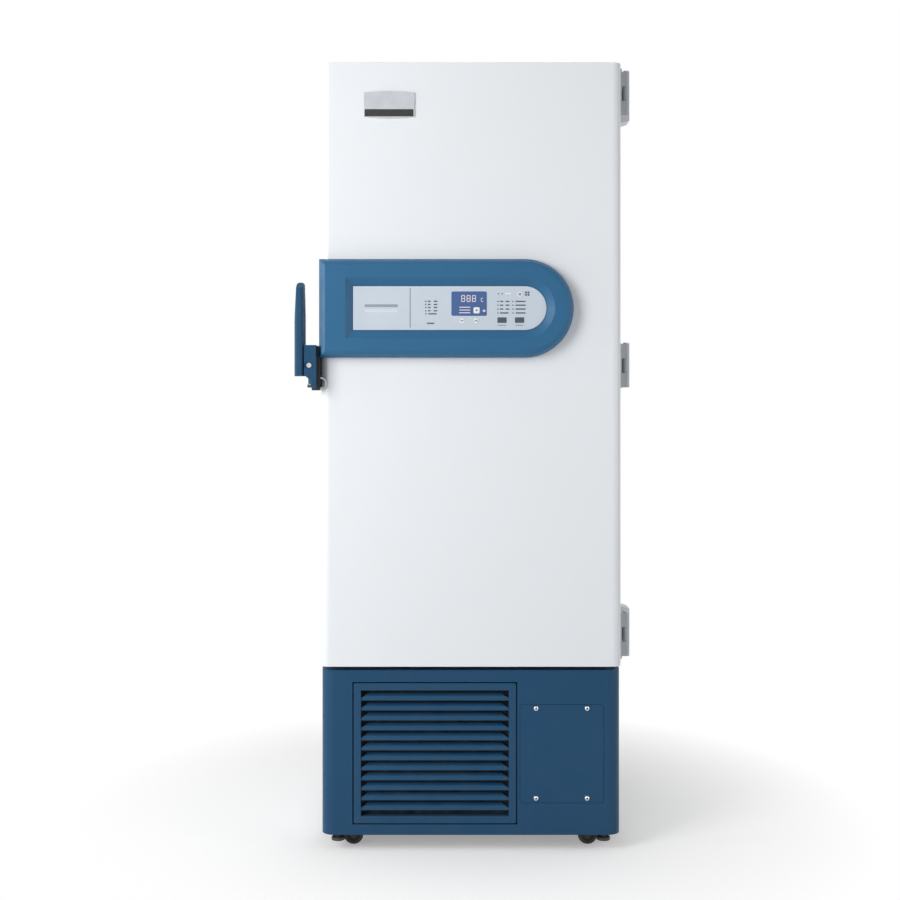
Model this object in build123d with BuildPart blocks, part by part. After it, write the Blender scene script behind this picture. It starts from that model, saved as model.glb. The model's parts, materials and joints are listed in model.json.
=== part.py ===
from build123d import *
import os
from math import asin, cos, radians, sin

# Upright ultra low temperature freezer as separate pieces, in millimetres.
# +Z is up, the front faces -Y, and the origin is on the floor under the middle.

# Cabinet
body_width = 750
body_top = 1980
cabinet_base = 462
front_face = -400
door_thickness = 105
gasket_height = 10
cabinet_depth = 700
sheet = 1.5
skirt_bottom = 45
cabinet_front = front_face + door_thickness + gasket_height
cabinet_back = cabinet_front + cabinet_depth
half_body = body_width / 2

# Cold chamber
chamber_wall_side = 130
chamber_wall_top = 130
chamber_wall_bottom = 130
chamber_wall_back = 125
breaker_plate = 12
breaker_margin = 6
sleeve_wall = 3
sleeve_depth = 15
shelf_count = 3
shelf_thickness = 3
shelf_lip = 18
shelf_clearance = 1
ledge_reach = 12
ledge_height = 10
half_chamber = half_body - chamber_wall_side
chamber_bottom = cabinet_base + chamber_wall_bottom
chamber_top = body_top - chamber_wall_top
chamber_back = cabinet_back - chamber_wall_back
chamber_front = cabinet_front + breaker_plate + sleeve_depth
chamber_middle = (chamber_bottom + chamber_top) / 2

# Outer door
door_extra_width = 2
door_width = body_width + door_extra_width
door_base_rise = 7
door_top_setback = 2
door_bottom = cabinet_base + door_base_rise
door_top = body_top - door_top_setback
door_corner = 22
door_panel_rise = 7
door_panel_inset = 76
gasket_inset = 31
gasket_width = 20
gasket_gap = 0.3
door_panel_corner = 12
gasket_corner = 10
half_door = door_width / 2
door_back = front_face + door_thickness

# Inner doors
inner_door_gap = 2
inner_door_split = 4
inner_door_setback = 2
inner_door_back_gap = 1
inner_pin_radius = 2.5
inner_pin_length = 12
inner_pin_from_side = 7
inner_pin_from_front = 4
inner_hinge_plate = 3
inner_hinge_reach = 6
inner_hinge_depth = 14
inner_door_corner = 3
inner_pin_end_gap = 1
pull_width = 26
pull_height = 130
pull_depth = 14
pull_inset = 22
panel_margin = 35
panel_recess = 5

# Fits
running_gap = 0.05
seat_gap = 0.3

# Control housing on the door
fascia_center_from_right = 243.5
fascia_center_x = half_door - fascia_center_from_right
fascia_height_on_door = 894
fascia_side_overlap = 2
fascia_left = -half_door - fascia_side_overlap
fascia_radius = 122.5
fascia_depth = 34
fascia_bevel_depth = 20
fascia_bevel = 16.5
fascia_shoulder_inset = 7.5
fascia_shoulder_drop = 3.5
recess_radius = 75
recess_inset = 67
recess_left = fascia_left + recess_inset
recess_depth = 13
overlay_radius = 54.5
overlay_inset = 85
overlay_left = fascia_left + overlay_inset
overlay_thickness = 2
key_travel = 1
key_proud = 1.2
key_length = 9
key_gap = 0.3
round_key_radius = 7
round_key_drop = 31.5
key_up_offset = 155.5
key_down_offset = 120.5
square_key_side = 15
square_key_corner = 3.5
square_key_offset = 119
square_key_drop = 5.5
mute_key_radius = 7
mute_key_offset = 11.5
mute_key_rise = 34.5
key_edge_round = 0.8
fascia_front = front_face - fascia_depth
fascia_center_z = door_bottom + fascia_height_on_door
overlay_front = fascia_front + recess_depth - overlay_thickness

# Badge plate
badge_inset = 108
badge_left = badge_inset - half_door
badge_width = 127
badge_drop = 76
badge_height = 60
badge_arch = 4
badge_thickness = 3
badge_top = door_top - badge_drop

# Handle and latch
pivot_side_gap = 30
pivot_x = -half_door - pivot_side_gap
pivot_from_door_back = 17
pivot_y = door_back - pivot_from_door_back
pivot_radius = 4
pin_head_rim = 3
pin_head_height = 4
pin_head_round = 2
hub_radius = 10
hub_bottom_drop = 188
hub_bottom = fascia_center_z - hub_bottom_drop
hub_height = 86
hub_end_gap = 1
blade_reach = 30
blade_left = pivot_x - blade_reach
blade_width = 27
blade_stand_off = 46
blade_front = front_face - blade_stand_off
blade_depth = 34
blade_edge_round = 6
blade_side_slope = 8
blade_top_rise = 63
blade_top = fascia_center_z + blade_top_rise
blade_top_drop = 14
blade_top_slope = 20
blade_top_round = 7
blade_taper_drop = 33
blade_taper_start = fascia_center_z - blade_taper_drop
blade_left_taper = 5
blade_right_taper = 4
lever_bottom_drop = 169
lever_bottom = fascia_center_z - lever_bottom_drop
lock_side_gap = 7.5
lock_body_right = -half_door - lock_side_gap
lock_body_overlap = 4
lock_body_top_drop = 92
lock_body_top = fascia_center_z - lock_body_top_drop
lock_body_setback = 6
lock_body_front = blade_front + lock_body_setback
lock_body_depth = 26
tail_bottom_drop = 200
tail_bottom = fascia_center_z - tail_bottom_drop
tail_width = 11
tail_straight = 19
tail_corner = 3
lever_arm_width = 15
lock_inset = 17
lock_x = lock_body_right - lock_inset
lock_z_drop = 142
lock_z = fascia_center_z - lock_z_drop
lock_radius = 6
lock_length = 18
lock_recess_width = 25
lock_recess_height = 15
lock_recess_depth = 3
keyway_width = 1.4
keyway_height = 7.2
lug_thickness = 8
lug_radius = 12
bracket_plate = 5
bracket_flange = 3
bracket_flange_gap = 1
bracket_flange_drop = 7
hook_inner_radius = 26.5
hook_outer_radius = 33
hook_angle = 79
hook_half_angle = 5.5
hook_tip_angle = 91
hook_root_angle = 60
hook_height = 34
hook_middle_drop = 143
hook_middle = fascia_center_z - hook_middle_drop
roller_radius = 5
roller_reach = 20
roller_angle = 115
keeper_plate = 4
keeper_plate_setback = 4
keeper_plate_depth = 56
keeper_plate_margin = 10
keeper_arm = 4
keeper_arm_gap = 4
keeper_arm_inset = 1
keeper_arm_setback = 6
keeper_arm_depth = 50
keeper_nose = 7
keeper_nose_right = 2
keeper_nose_back = 9
keeper_pin_radius = 2.5
eye_drop = 187
eye_z = fascia_center_z - eye_drop
eye_radius = 16.5
eye_hole_radius = 11.5
eye_thickness = 4
eye_edge_round = 1.2

# Door hinges
hinge_side_gap = 20
hinge_x = half_door + hinge_side_gap
hinge_from_front = 65
hinge_y = front_face + hinge_from_front
hinge_pin_radius = 5
hinge_pin_cap = 3
knuckle_radius = 8
knuckle_flat = 0.5
knuckle_web = 24
hinge_top_drop = 65
hinge_bottom_rise = 70
hinge_middle_rise = 753
hinge_heights = (
    door_bottom + hinge_bottom_rise,
    door_bottom + hinge_middle_rise,
    door_top - hinge_top_drop,
)
hinge_height = 110
leaf_plate = 4
leaf_front_gap = 2
leaf_back = 90
door_leaf_front_inset = 80
door_leaf_back_inset = 6
cover_side_reach = 39
cover_right = half_door + cover_side_reach
cover_overhang = 6
cover_slant = 10
cover_depth = 60

# Lower front panel
panel_setback = 12
panel_front = front_face + panel_setback
panel_wall = 3
panel_top_drop = 4
panel_top = cabinet_base - panel_top_drop
panel_bottom = skirt_bottom
panel_corner = 32
well_wall = 2
service_from_right = 251.5
service_left = half_body - service_from_right
service_width = 209
service_bottom_inset = 80.5
service_bottom = panel_bottom + service_bottom_inset
service_top_inset = 86.5
service_top = panel_top - service_top_inset
service_corner = 8
service_gap = 1
service_plate = 1.5
service_land = 8
grille_side_inset = 81
grille_left = grille_side_inset - half_body
grille_to_service = 10.5
grille_right = service_left - grille_to_service
grille_bottom_inset = 29
grille_bottom = panel_bottom + grille_bottom_inset
grille_top_inset = 33
grille_top = panel_top - grille_top_inset
grille_gap = 3
grille_depth = 22
grille_corner = 4
grille_frame = 18
grille_ledge = 8
louvre_pitch = 25
louvre_setback = 1.5
louvre_wall = 2
louvre_face = 11
louvre_lean = 2
louvre_run = 13
louvre_rise = 6
louvre_end_drop = 11
louvre_end_run = 20
filter_thickness = 9

# Chassis
tray_rise = 17
tray_bottom = skirt_bottom + tray_rise
tray_thickness = 3
tray_top = tray_bottom + tray_thickness
tray_lip = 18
tray_corner_inset = 14
tray_front_inset = 16
tray_front = panel_front + tray_front_inset

# Casters and levelling feet
caster_side_inset = 98
caster_x = half_body - caster_side_inset
caster_front_inset = 30
caster_front_y = cabinet_front - caster_front_inset
caster_rear_inset = 80
caster_rear_y = cabinet_back - caster_rear_inset
caster_trail = 22
wheel_radius = 25
wheel_width = 20
wheel_hub_radius = 9
wheel_rim_radius = 16
wheel_web = 10
wheel_rim_step = 1
tread_edge_width = 2
tread_edge_drop = 1.5
axle_radius = 4
axle_boss = 8
fork_wall = 3
fork_side_gap = 1.5
fork_top = 54
fork_root_width = 4
crown_gap = 1
race_gap = 0.3
stem_radius = 6
race_radius = 22
caster_plate_side = 60
caster_plate_corner = 6
caster_plate_thickness = 4
foot_side_inset = 40
foot_x = half_body - foot_side_inset
foot_front_inset = 30
foot_y = panel_front + foot_front_inset
foot_bottom = 25
foot_pad_radius = 17
foot_pad_height = 8
foot_pad_round = 3
foot_stem_radius = 8
foot_stem_length = 72
foot_nut_radius = 15
foot_nut_drop = 8

# Refrigeration
compressor_radius = 95
compressor_headroom = 117
compressor_height = cabinet_base - tray_top - compressor_headroom
dome_height = 50
seam_half_height = 5
seam_proud = 3
shell_base_slope = 35
grommet_radius = 12
grommet_height = 18
compressor_foot = 5
compressor_foot_corner = 20
compressor_shell_rise = 22
grommet_spread = 0.8
compressor_first_x = -160
compressor_second_x = 130
compressor_from_back = 225
compressor_y = cabinet_back - compressor_from_back
condenser_side_inset = 4
condenser_left = grille_left + condenser_side_inset
condenser_right_inset = 8
condenser_right = grille_right - condenser_right_inset
condenser_from_panel = 43
condenser_front = panel_front + condenser_from_panel
condenser_depth = 50
condenser_headroom = 47
condenser_top = cabinet_base - condenser_headroom
condenser_end_plate = 3
fin_pitch = 16
fin_wall = 1
fin_margin = 6
fin_end_gap = 4
tube_radius = 5
tube_first_rise = 45
tube_pitch = 65
tube_overhang = 12
shroud_depth = 45
shroud_wall = 2
fan_radius = 120
fan_gap = 5
fan_hub_radius = 32
fan_hub_length = 24
fan_root_bite = 6
fan_blade_count = 5
fan_center_z = (tray_top + condenser_top) / 2
fan_setback = 20
fan_blade_wall = 2
fan_root_chord = 34
fan_root_angle = 46
fan_tip_chord = 60
fan_tip_angle = 60
motor_gap = 8
motor_radius = 40
motor_length = 70
motor_edge_round = 5
motor_shaft_radius = 5
motor_foot_half = 60
motor_neck_half = 20
motor_bracket_inset = 20
motor_bracket_wall = 4
motor_foot_setback = 16
pipe_radius = 5
pipe_headroom = 40
pipe_bend = 24
drier_radius = 14
drier_gap = 25
drier_length = 130
drier_drop = 110

# Electrical box behind the service cover
box_inset = 11.5
box_left = service_left + box_inset
box_width = 200
box_front = condenser_front
box_depth = 230
box_headroom = 107
box_top = cabinet_base - box_headroom
box_corner = 6

# Rear service openings
port_from_side = 225
port_x = port_from_side - half_body
port_drop = 150
port_z = chamber_top - port_drop
port_radius = 14
port_wall = 2.5
port_flange = 24
plug_head = 22
plug_head_round = 4
plug_length = 62.5
vent_rows = 9
vent_row_pitch = 30
vent_top_drop = 60
vent_slot_width = 260
vent_slot_height = 8
gland_from_side = 125
gland_x = half_body - gland_from_side
gland_rise = 55
gland_z = skirt_bottom + gland_rise
gland_radius = 13
gland_bore = 6
gland_length = 14


def facing(y):
    """Plane at this depth, drawn as seen from the front; extruding goes to the front."""
    return Plane.XZ.offset(-y)


def level(z):
    """Horizontal plane at this height."""
    return Plane.XY.offset(z)


def area(low_u, high_u, low_v, high_v, mode=Mode.ADD):
    """Rectangle between two corners of the sketch in hand."""
    with Locations(((low_u + high_u) / 2, (low_v + high_v) / 2)):
        Rectangle(high_u - low_u, high_v - low_v, mode=mode)


def slab(x_span, y_span, z_span, mode=Mode.ADD):
    """Box between two corners of the part in hand."""
    middle = [(low + high) / 2 for low, high in (x_span, y_span, z_span)]
    with Locations(tuple(middle)):
        Box(
            x_span[1] - x_span[0],
            y_span[1] - y_span[0],
            z_span[1] - z_span[0],
            mode=mode,
        )


def front_rounded(width, front, back, corner):
    """Plan outline with its two front corners rounded."""
    with BuildSketch() as outline:
        with Locations((0, (front + back) / 2)):
            Rectangle(width, back - front)
        fillet(outline.vertices().group_by(Axis.Y)[0], corner)
    return outline.sketch


def d_outline(left, radius):
    """Outline with a straight left end and a half-round right end, about the fascia centre."""
    with BuildSketch() as outline:
        with Locations((fascia_center_x, fascia_center_z)):
            Circle(radius)
        with Locations(((left + fascia_center_x) / 2, fascia_center_z)):
            Rectangle(fascia_center_x - left, 2 * radius)
    return outline.sketch


def d_block(left, radius, back, front):
    """Straight block with the fascia outline between two depths."""
    with BuildPart() as block:
        with BuildSketch(facing(back)):
            add(d_outline(left, radius))
        extrude(amount=back - front)
    return block.part


def d_taper(back_size, front_size, back, front):
    """Tapered block between two fascia outlines, each given as left edge and radius."""
    with BuildPart() as block:
        with BuildSketch(facing(back)):
            add(d_outline(*back_size))
        with BuildSketch(facing(front)):
            add(d_outline(*front_size))
        loft()
    return block.part


def save(piece, name):
    """Name a finished piece and write its STEP file."""
    piece.part.label = name
    export_step(piece.part, f"parts/{name}.step")


os.makedirs("parts", exist_ok=True)

# Cabinet shell: folded outer wrapper with the floor of the cold cabinet welded in
with BuildPart() as cabinet_wrapper:
    with BuildSketch(facing(cabinet_back - sheet)):
        area(-half_body, half_body, skirt_bottom, body_top)
        area(
            sheet - half_body,
            half_body - sheet,
            cabinet_base + sheet,
            body_top - sheet,
            Mode.SUBTRACT,
        )
        area(sheet - half_body, half_body - sheet, skirt_bottom, cabinet_base, Mode.SUBTRACT)
    extrude(amount=cabinet_depth - sheet)
save(cabinet_wrapper, "cabinet_wrapper")

with BuildPart() as rear_panel:
    with BuildSketch(facing(cabinet_back)):
        area(-half_body, half_body, cabinet_base, body_top)
        with Locations((port_x, port_z)):
            Circle(port_radius + seat_gap, mode=Mode.SUBTRACT)
    extrude(amount=sheet)
save(rear_panel, "rear_panel")

# Insulation: one foamed block round the liner, with the tube of the access port let in
foam_side = half_body - sheet
sleeve_outer = half_chamber + breaker_margin + sleeve_wall
with BuildPart() as foam_insulation:
    slab(
        (-foam_side, foam_side),
        (cabinet_front + breaker_plate, cabinet_back - sheet),
        (cabinet_base + sheet, body_top - sheet),
    )
    slab(
        (-sleeve_outer, sleeve_outer),
        (cabinet_front + breaker_plate, chamber_front + sheet),
        (chamber_bottom + half_chamber - sleeve_outer, chamber_top - half_chamber + sleeve_outer),
        Mode.SUBTRACT,
    )
    slab(
        (-half_chamber - sheet, half_chamber + sheet),
        (chamber_front, chamber_back + sheet),
        (chamber_bottom - sheet, chamber_top + sheet),
        Mode.SUBTRACT,
    )
    with BuildSketch(facing(cabinet_back)):
        with Locations((port_x, port_z)):
            Circle(port_radius)
    extrude(amount=chamber_wall_back + sheet, mode=Mode.SUBTRACT)
save(foam_insulation, "foam_insulation")

# Inner liner: open box with a front flange and a pair of pressed ledges for each shelf
shelf_step = (chamber_top - chamber_bottom) / (shelf_count + 1)
ledge_tops = [chamber_bottom + shelf_step * (number + 1) for number in range(shelf_count)]
with BuildPart() as inner_liner:
    slab(
        (-half_chamber - sheet, half_chamber + sheet),
        (chamber_front, chamber_back + sheet),
        (chamber_bottom - sheet, chamber_top + sheet),
    )
    slab(
        (-sleeve_outer, sleeve_outer),
        (chamber_front, chamber_front + sheet),
        (chamber_bottom + half_chamber - sleeve_outer, chamber_top - half_chamber + sleeve_outer),
    )
    slab(
        (-half_chamber, half_chamber),
        (chamber_front, chamber_back),
        (chamber_bottom, chamber_top),
        Mode.SUBTRACT,
    )
    for ledge_top in ledge_tops:
        for side in (-1, 1):
            wall = side * half_chamber
            reach = side * (half_chamber - ledge_reach)
            with BuildSketch(facing(chamber_back)):
                with BuildLine():
                    Polyline(
                        (wall, ledge_top),
                        (reach, ledge_top),
                        (wall, ledge_top - ledge_height),
                        close=True,
                    )
                make_face()
            extrude(amount=chamber_back - chamber_front)
    with BuildSketch(facing(chamber_back + sheet)):
        with Locations((port_x, port_z)):
            Circle(port_radius - port_wall)
    extrude(amount=sheet, mode=Mode.SUBTRACT)
save(inner_liner, "inner_liner")

# Breaker: plastic ring that closes the foam at the front and forms the jamb
opening_side = half_chamber + breaker_margin
opening_bottom = chamber_bottom - breaker_margin
opening_top = chamber_top + breaker_margin
with BuildPart() as breaker_frame:
    with BuildSketch(facing(cabinet_front + breaker_plate)):
        area(-foam_side, foam_side, cabinet_base + sheet, body_top - sheet)
        area(-opening_side, opening_side, opening_bottom, opening_top, Mode.SUBTRACT)
    extrude(amount=breaker_plate)
    with BuildSketch(facing(chamber_front)):
        area(-sleeve_outer, sleeve_outer, opening_bottom - sleeve_wall, opening_top + sleeve_wall)
        area(-opening_side, opening_side, opening_bottom, opening_top, Mode.SUBTRACT)
    extrude(amount=sleeve_depth)
save(breaker_frame, "breaker_frame")

# Shelves: stainless trays with the front and back edges turned down
shelf_side = half_chamber - shelf_clearance
shelf_names = ("shelf_lower", "shelf_middle", "shelf_upper")
for shelf_name, ledge_top in zip(shelf_names, ledge_tops):
    shelf_front = chamber_front + shelf_clearance
    shelf_back = chamber_back - shelf_clearance
    lip_side = half_chamber - ledge_reach - shelf_clearance
    with BuildPart() as shelf:
        slab(
            (-shelf_side, shelf_side),
            (shelf_front, shelf_back),
            (ledge_top, ledge_top + shelf_thickness),
        )
        for lip_front in (shelf_front, shelf_back - shelf_thickness):
            slab(
                (-lip_side, lip_side),
                (lip_front, lip_front + shelf_thickness),
                (ledge_top - shelf_lip, ledge_top),
            )
    save(shelf, shelf_name)

# Access port through the back wall
with BuildPart() as port_tube:
    with BuildSketch(facing(cabinet_back)):
        with Locations((port_x, port_z)):
            Circle(port_radius)
            Circle(port_radius - port_wall, mode=Mode.SUBTRACT)
    extrude(amount=chamber_wall_back - sheet)
    with BuildSketch(facing(cabinet_back + port_wall)):
        with Locations((port_x, port_z)):
            Circle(port_flange)
            Circle(port_radius - port_wall, mode=Mode.SUBTRACT)
    extrude(amount=port_wall)
save(port_tube, "port_tube")

plug_radius = port_radius - port_wall - running_gap
plug_seat = cabinet_back + port_wall + seat_gap
plug_end = -blade_front
with BuildPart() as port_plug:
    with BuildSketch(facing(plug_seat)):
        with Locations((port_x, port_z)):
            Circle(plug_radius)
    extrude(amount=plug_length)
    with BuildSketch(facing(plug_end)):
        with Locations((port_x, port_z)):
            Circle(plug_head)
    extrude(amount=plug_end - plug_seat)
    fillet(port_plug.faces().sort_by(Axis.Y)[-1].edges(), plug_head_round)
save(port_plug, "port_plug")

# Inner doors: two moulded panels hung on pins at the right of the opening
inner_right = opening_side - inner_door_gap
inner_front = cabinet_front + inner_door_setback
inner_back = chamber_front - inner_door_back_gap
inner_pin_x = inner_right - inner_pin_from_side
inner_pin_y = inner_front + inner_pin_from_front
inner_spans = {
    "inner_door_lower": (
        opening_bottom + inner_hinge_plate + inner_pin_end_gap,
        chamber_middle - inner_door_split / 2,
    ),
    "inner_door_upper": (
        chamber_middle + inner_door_split / 2,
        opening_top - inner_hinge_plate - inner_pin_end_gap,
    ),
}
for inner_name, (inner_bottom, inner_top) in inner_spans.items():
    inner_height = inner_top - inner_bottom
    with BuildPart() as inner_door:
        slab((-inner_right, inner_right), (inner_front, inner_back), (inner_bottom, inner_top))
        fillet(inner_door.edges().filter_by(Axis.Z), inner_door_corner)
        slab(
            (panel_margin - inner_right, inner_right - panel_margin),
            (inner_front, inner_front + panel_recess),
            (inner_bottom + panel_margin, inner_top - panel_margin),
            Mode.SUBTRACT,
        )
        pull_left = panel_margin - inner_right + pull_inset - pull_width / 2
        pull_middle = inner_bottom + inner_height / 2
        slab(
            (pull_left, pull_left + pull_width),
            (inner_front, inner_front + pull_depth),
            (pull_middle - pull_height / 2, pull_middle + pull_height / 2),
            Mode.SUBTRACT,
        )
        for pin_end in (inner_bottom, inner_top - inner_pin_length - inner_pin_end_gap):
            with BuildSketch(level(pin_end)):
                with Locations((inner_pin_x, inner_pin_y)):
                    Circle(inner_pin_radius + running_gap)
            extrude(amount=inner_pin_length + inner_pin_end_gap, mode=Mode.SUBTRACT)
    save(inner_door, inner_name)

# Inner hinges: plates let into the jamb with pins for the panels above and below
with BuildPart() as inner_door_hinges:
    plate_places = (
        (opening_bottom, 0, 1),
        (chamber_middle - inner_hinge_plate / 2, 1, 1),
        (opening_top - inner_hinge_plate, 1, 0),
    )
    for plate_bottom, pin_below, pin_above in plate_places:
        slab(
            (inner_pin_x - inner_hinge_reach, opening_side),
            (inner_front, inner_front + inner_hinge_depth),
            (plate_bottom, plate_bottom + inner_hinge_plate),
        )
        with BuildSketch(level(plate_bottom - pin_below * inner_pin_length)):
            with Locations((inner_pin_x, inner_pin_y)):
                Circle(inner_pin_radius)
        extrude(amount=inner_hinge_plate + inner_pin_length * (pin_below + pin_above))
save(inner_door_hinges, "inner_door_hinges")

# Outer door: steel pan, foam block, pressed liner and magnetic gasket
with BuildPart() as door_skin:
    with BuildSketch(level(door_bottom)):
        add(front_rounded(door_width, front_face, door_back, door_corner))
    extrude(amount=door_top - door_bottom)
    with BuildSketch(level(door_bottom + sheet)):
        add(front_rounded(door_width - 2 * sheet, front_face + sheet, door_back, door_corner - sheet))
    extrude(amount=door_top - door_bottom - 2 * sheet, mode=Mode.SUBTRACT)
save(door_skin, "door_skin")

with BuildPart() as door_foam:
    with BuildSketch(level(door_bottom + sheet)):
        add(
            front_rounded(
                door_width - 2 * sheet, front_face + sheet, door_back - sheet, door_corner - sheet
            )
        )
    extrude(amount=door_top - door_bottom - 2 * sheet)
save(door_foam, "door_foam")

with BuildPart() as door_liner:
    slab(
        (sheet - half_door, half_door - sheet),
        (door_back - sheet, door_back),
        (door_bottom + sheet, door_top - sheet),
    )
    with BuildSketch(Plane.XZ.offset(-door_back)) as pressed_panel:
        area(
            door_panel_inset - half_door,
            half_door - door_panel_inset,
            door_bottom + door_panel_inset,
            door_top - door_panel_inset,
        )
        fillet(pressed_panel.vertices(), door_panel_corner)
    extrude(amount=-door_panel_rise, taper=30)
save(door_liner, "door_liner")

with BuildPart() as door_gasket:
    with BuildSketch(facing(cabinet_front - gasket_gap)) as gasket_ring:
        area(
            gasket_inset - half_door,
            half_door - gasket_inset,
            door_bottom + gasket_inset,
            door_top - gasket_inset,
        )
        fillet(gasket_ring.vertices(), gasket_corner)
        area(
            gasket_inset + gasket_width - half_door,
            half_door - gasket_inset - gasket_width,
            door_bottom + gasket_inset + gasket_width,
            door_top - gasket_inset - gasket_width,
            Mode.SUBTRACT,
        )
    extrude(amount=gasket_height - gasket_gap)
save(door_gasket, "door_gasket")

# Control housing: moulding with a bevelled rim and a sloped recess for the keypad
keys = {
    "key_up": (
        fascia_center_x - key_up_offset,
        fascia_center_z - round_key_drop,
        round_key_radius,
    ),
    "key_down": (
        fascia_center_x - key_down_offset,
        fascia_center_z - round_key_drop,
        round_key_radius,
    ),
    "key_mute": (
        fascia_center_x - mute_key_offset,
        fascia_center_z + mute_key_rise,
        mute_key_radius,
    ),
}
square_key_x = fascia_center_x - square_key_offset
square_key_z = fascia_center_z - square_key_drop
key_back = overlay_front + key_length - key_proud
key_well_back = key_back + key_travel + key_gap


def key_wells(back):
    """Sketch of the four key openings, with their clearance, on the plane at this depth."""
    with BuildSketch(facing(back)) as wells:
        for key_x, key_z, key_radius in keys.values():
            with Locations((key_x, key_z)):
                Circle(key_radius + key_gap)
        with Locations((square_key_x, square_key_z)):
            well_side = square_key_side + 2 * key_gap
            RectangleRounded(well_side, well_side, square_key_corner)
    return wells.sketch


rim_back = fascia_front + fascia_bevel_depth
rim_size = (fascia_left + fascia_bevel, fascia_radius - fascia_bevel)
shoulder_front = fascia_front + fascia_shoulder_drop
shoulder_size = (fascia_left + fascia_shoulder_inset, fascia_radius - fascia_shoulder_inset)
overlay_back = overlay_front + overlay_thickness
with BuildPart() as fascia_housing:
    add(d_block(fascia_left, fascia_radius, front_face, rim_back))
    add(d_taper((fascia_left, fascia_radius), shoulder_size, rim_back, shoulder_front))
    add(d_taper(shoulder_size, rim_size, shoulder_front, fascia_front))
    add(
        d_taper(
            (overlay_left, overlay_radius), (recess_left, recess_radius), overlay_back, fascia_front
        ),
        mode=Mode.SUBTRACT,
    )
    extrude(key_wells(key_well_back), amount=key_well_back - overlay_back, mode=Mode.SUBTRACT)
save(fascia_housing, "fascia_housing")

with BuildPart() as control_overlay:
    add(d_block(overlay_left + seat_gap, overlay_radius - seat_gap, overlay_back, overlay_front))
    extrude(key_wells(overlay_back), amount=overlay_thickness, mode=Mode.SUBTRACT)
save(control_overlay, "control_overlay")

for key_name, (key_x, key_z, key_radius) in keys.items():
    with BuildPart() as round_key:
        with BuildSketch(facing(key_back)):
            with Locations((key_x, key_z)):
                Circle(key_radius)
        extrude(amount=key_length)
        fillet(round_key.faces().sort_by(Axis.Y)[0].edges(), key_edge_round)
    save(round_key, key_name)

with BuildPart() as key_set:
    with BuildSketch(facing(key_back)):
        with Locations((square_key_x, square_key_z)):
            RectangleRounded(square_key_side, square_key_side, square_key_corner)
    extrude(amount=key_length)
    fillet(key_set.faces().sort_by(Axis.Y)[0].edges(), key_edge_round)
save(key_set, "key_set")

# Badge: blank plate with arched top and bottom edges
with BuildPart() as badge_plate:
    with BuildSketch(facing(front_face)):
        with BuildLine():
            badge_right = badge_left + badge_width
            badge_middle = badge_left + badge_width / 2
            badge_bottom = badge_top - badge_height
            ThreePointArc(
                (badge_left, badge_top), (badge_middle, badge_top + badge_arch), (badge_right, badge_top)
            )
            Line((badge_right, badge_top), (badge_right, badge_bottom))
            ThreePointArc(
                (badge_right, badge_bottom),
                (badge_middle, badge_bottom - badge_arch),
                (badge_left, badge_bottom),
            )
            Line((badge_left, badge_bottom), (badge_left, badge_top))
        make_face()
    extrude(amount=badge_thickness)
save(badge_plate, "badge_plate")

# Handle: lug bracket on the side of the door, lever on a vertical pin, key lock
hub_top = hub_bottom + hub_height
lug_low = hub_bottom - hub_end_gap - lug_thickness
lug_high = hub_top + hub_end_gap
door_side = -half_door
flange_left = pivot_x + lever_arm_width / 2 + bracket_flange_gap
flange_reach = (front_face - eye_thickness, front_face + bracket_flange)
flange_split = fascia_center_z - fascia_radius - bracket_flange_gap
with BuildPart() as handle_bracket:
    slab(
        (door_side - bracket_plate, door_side),
        (front_face, door_back),
        (lug_low, lug_high + lug_thickness),
    )
    slab((flange_left, door_side), flange_reach, (lug_low - bracket_flange_drop, flange_split))
    slab(
        (flange_left, fascia_left - bracket_flange_gap),
        flange_reach,
        (flange_split, lug_high + lug_thickness),
    )
    for lug_bottom in (lug_low, lug_high):
        with BuildSketch(level(lug_bottom)):
            with Locations((pivot_x, pivot_y)):
                Circle(lug_radius)
            area(pivot_x, door_side, pivot_y - lug_radius, pivot_y + lug_radius)
            with Locations((pivot_x, pivot_y)):
                Circle(pivot_radius + running_gap, mode=Mode.SUBTRACT)
        extrude(amount=lug_thickness)
save(handle_bracket, "handle_bracket")

pin_bottom = lug_low - seat_gap
pin_head_bottom = lug_high + lug_thickness + seat_gap
with BuildPart() as handle_pivot_pin:
    with BuildSketch(level(pin_bottom)):
        with Locations((pivot_x, pivot_y)):
            Circle(pivot_radius)
    extrude(amount=pin_head_bottom - pin_bottom)
    with BuildSketch(level(pin_head_bottom)):
        with Locations((pivot_x, pivot_y)):
            Circle(pivot_radius + pin_head_rim)
    extrude(amount=pin_head_height)
    fillet(handle_pivot_pin.faces().sort_by(Axis.Z)[-1].edges(), pin_head_round)
save(handle_pivot_pin, "handle_pivot_pin")


def about_pivot(radius, angle):
    """Point at this radius and angle from the handle's pin, seen from above."""
    turn = radians(angle)
    return (pivot_x + radius * cos(turn), pivot_y + radius * sin(turn))


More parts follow.
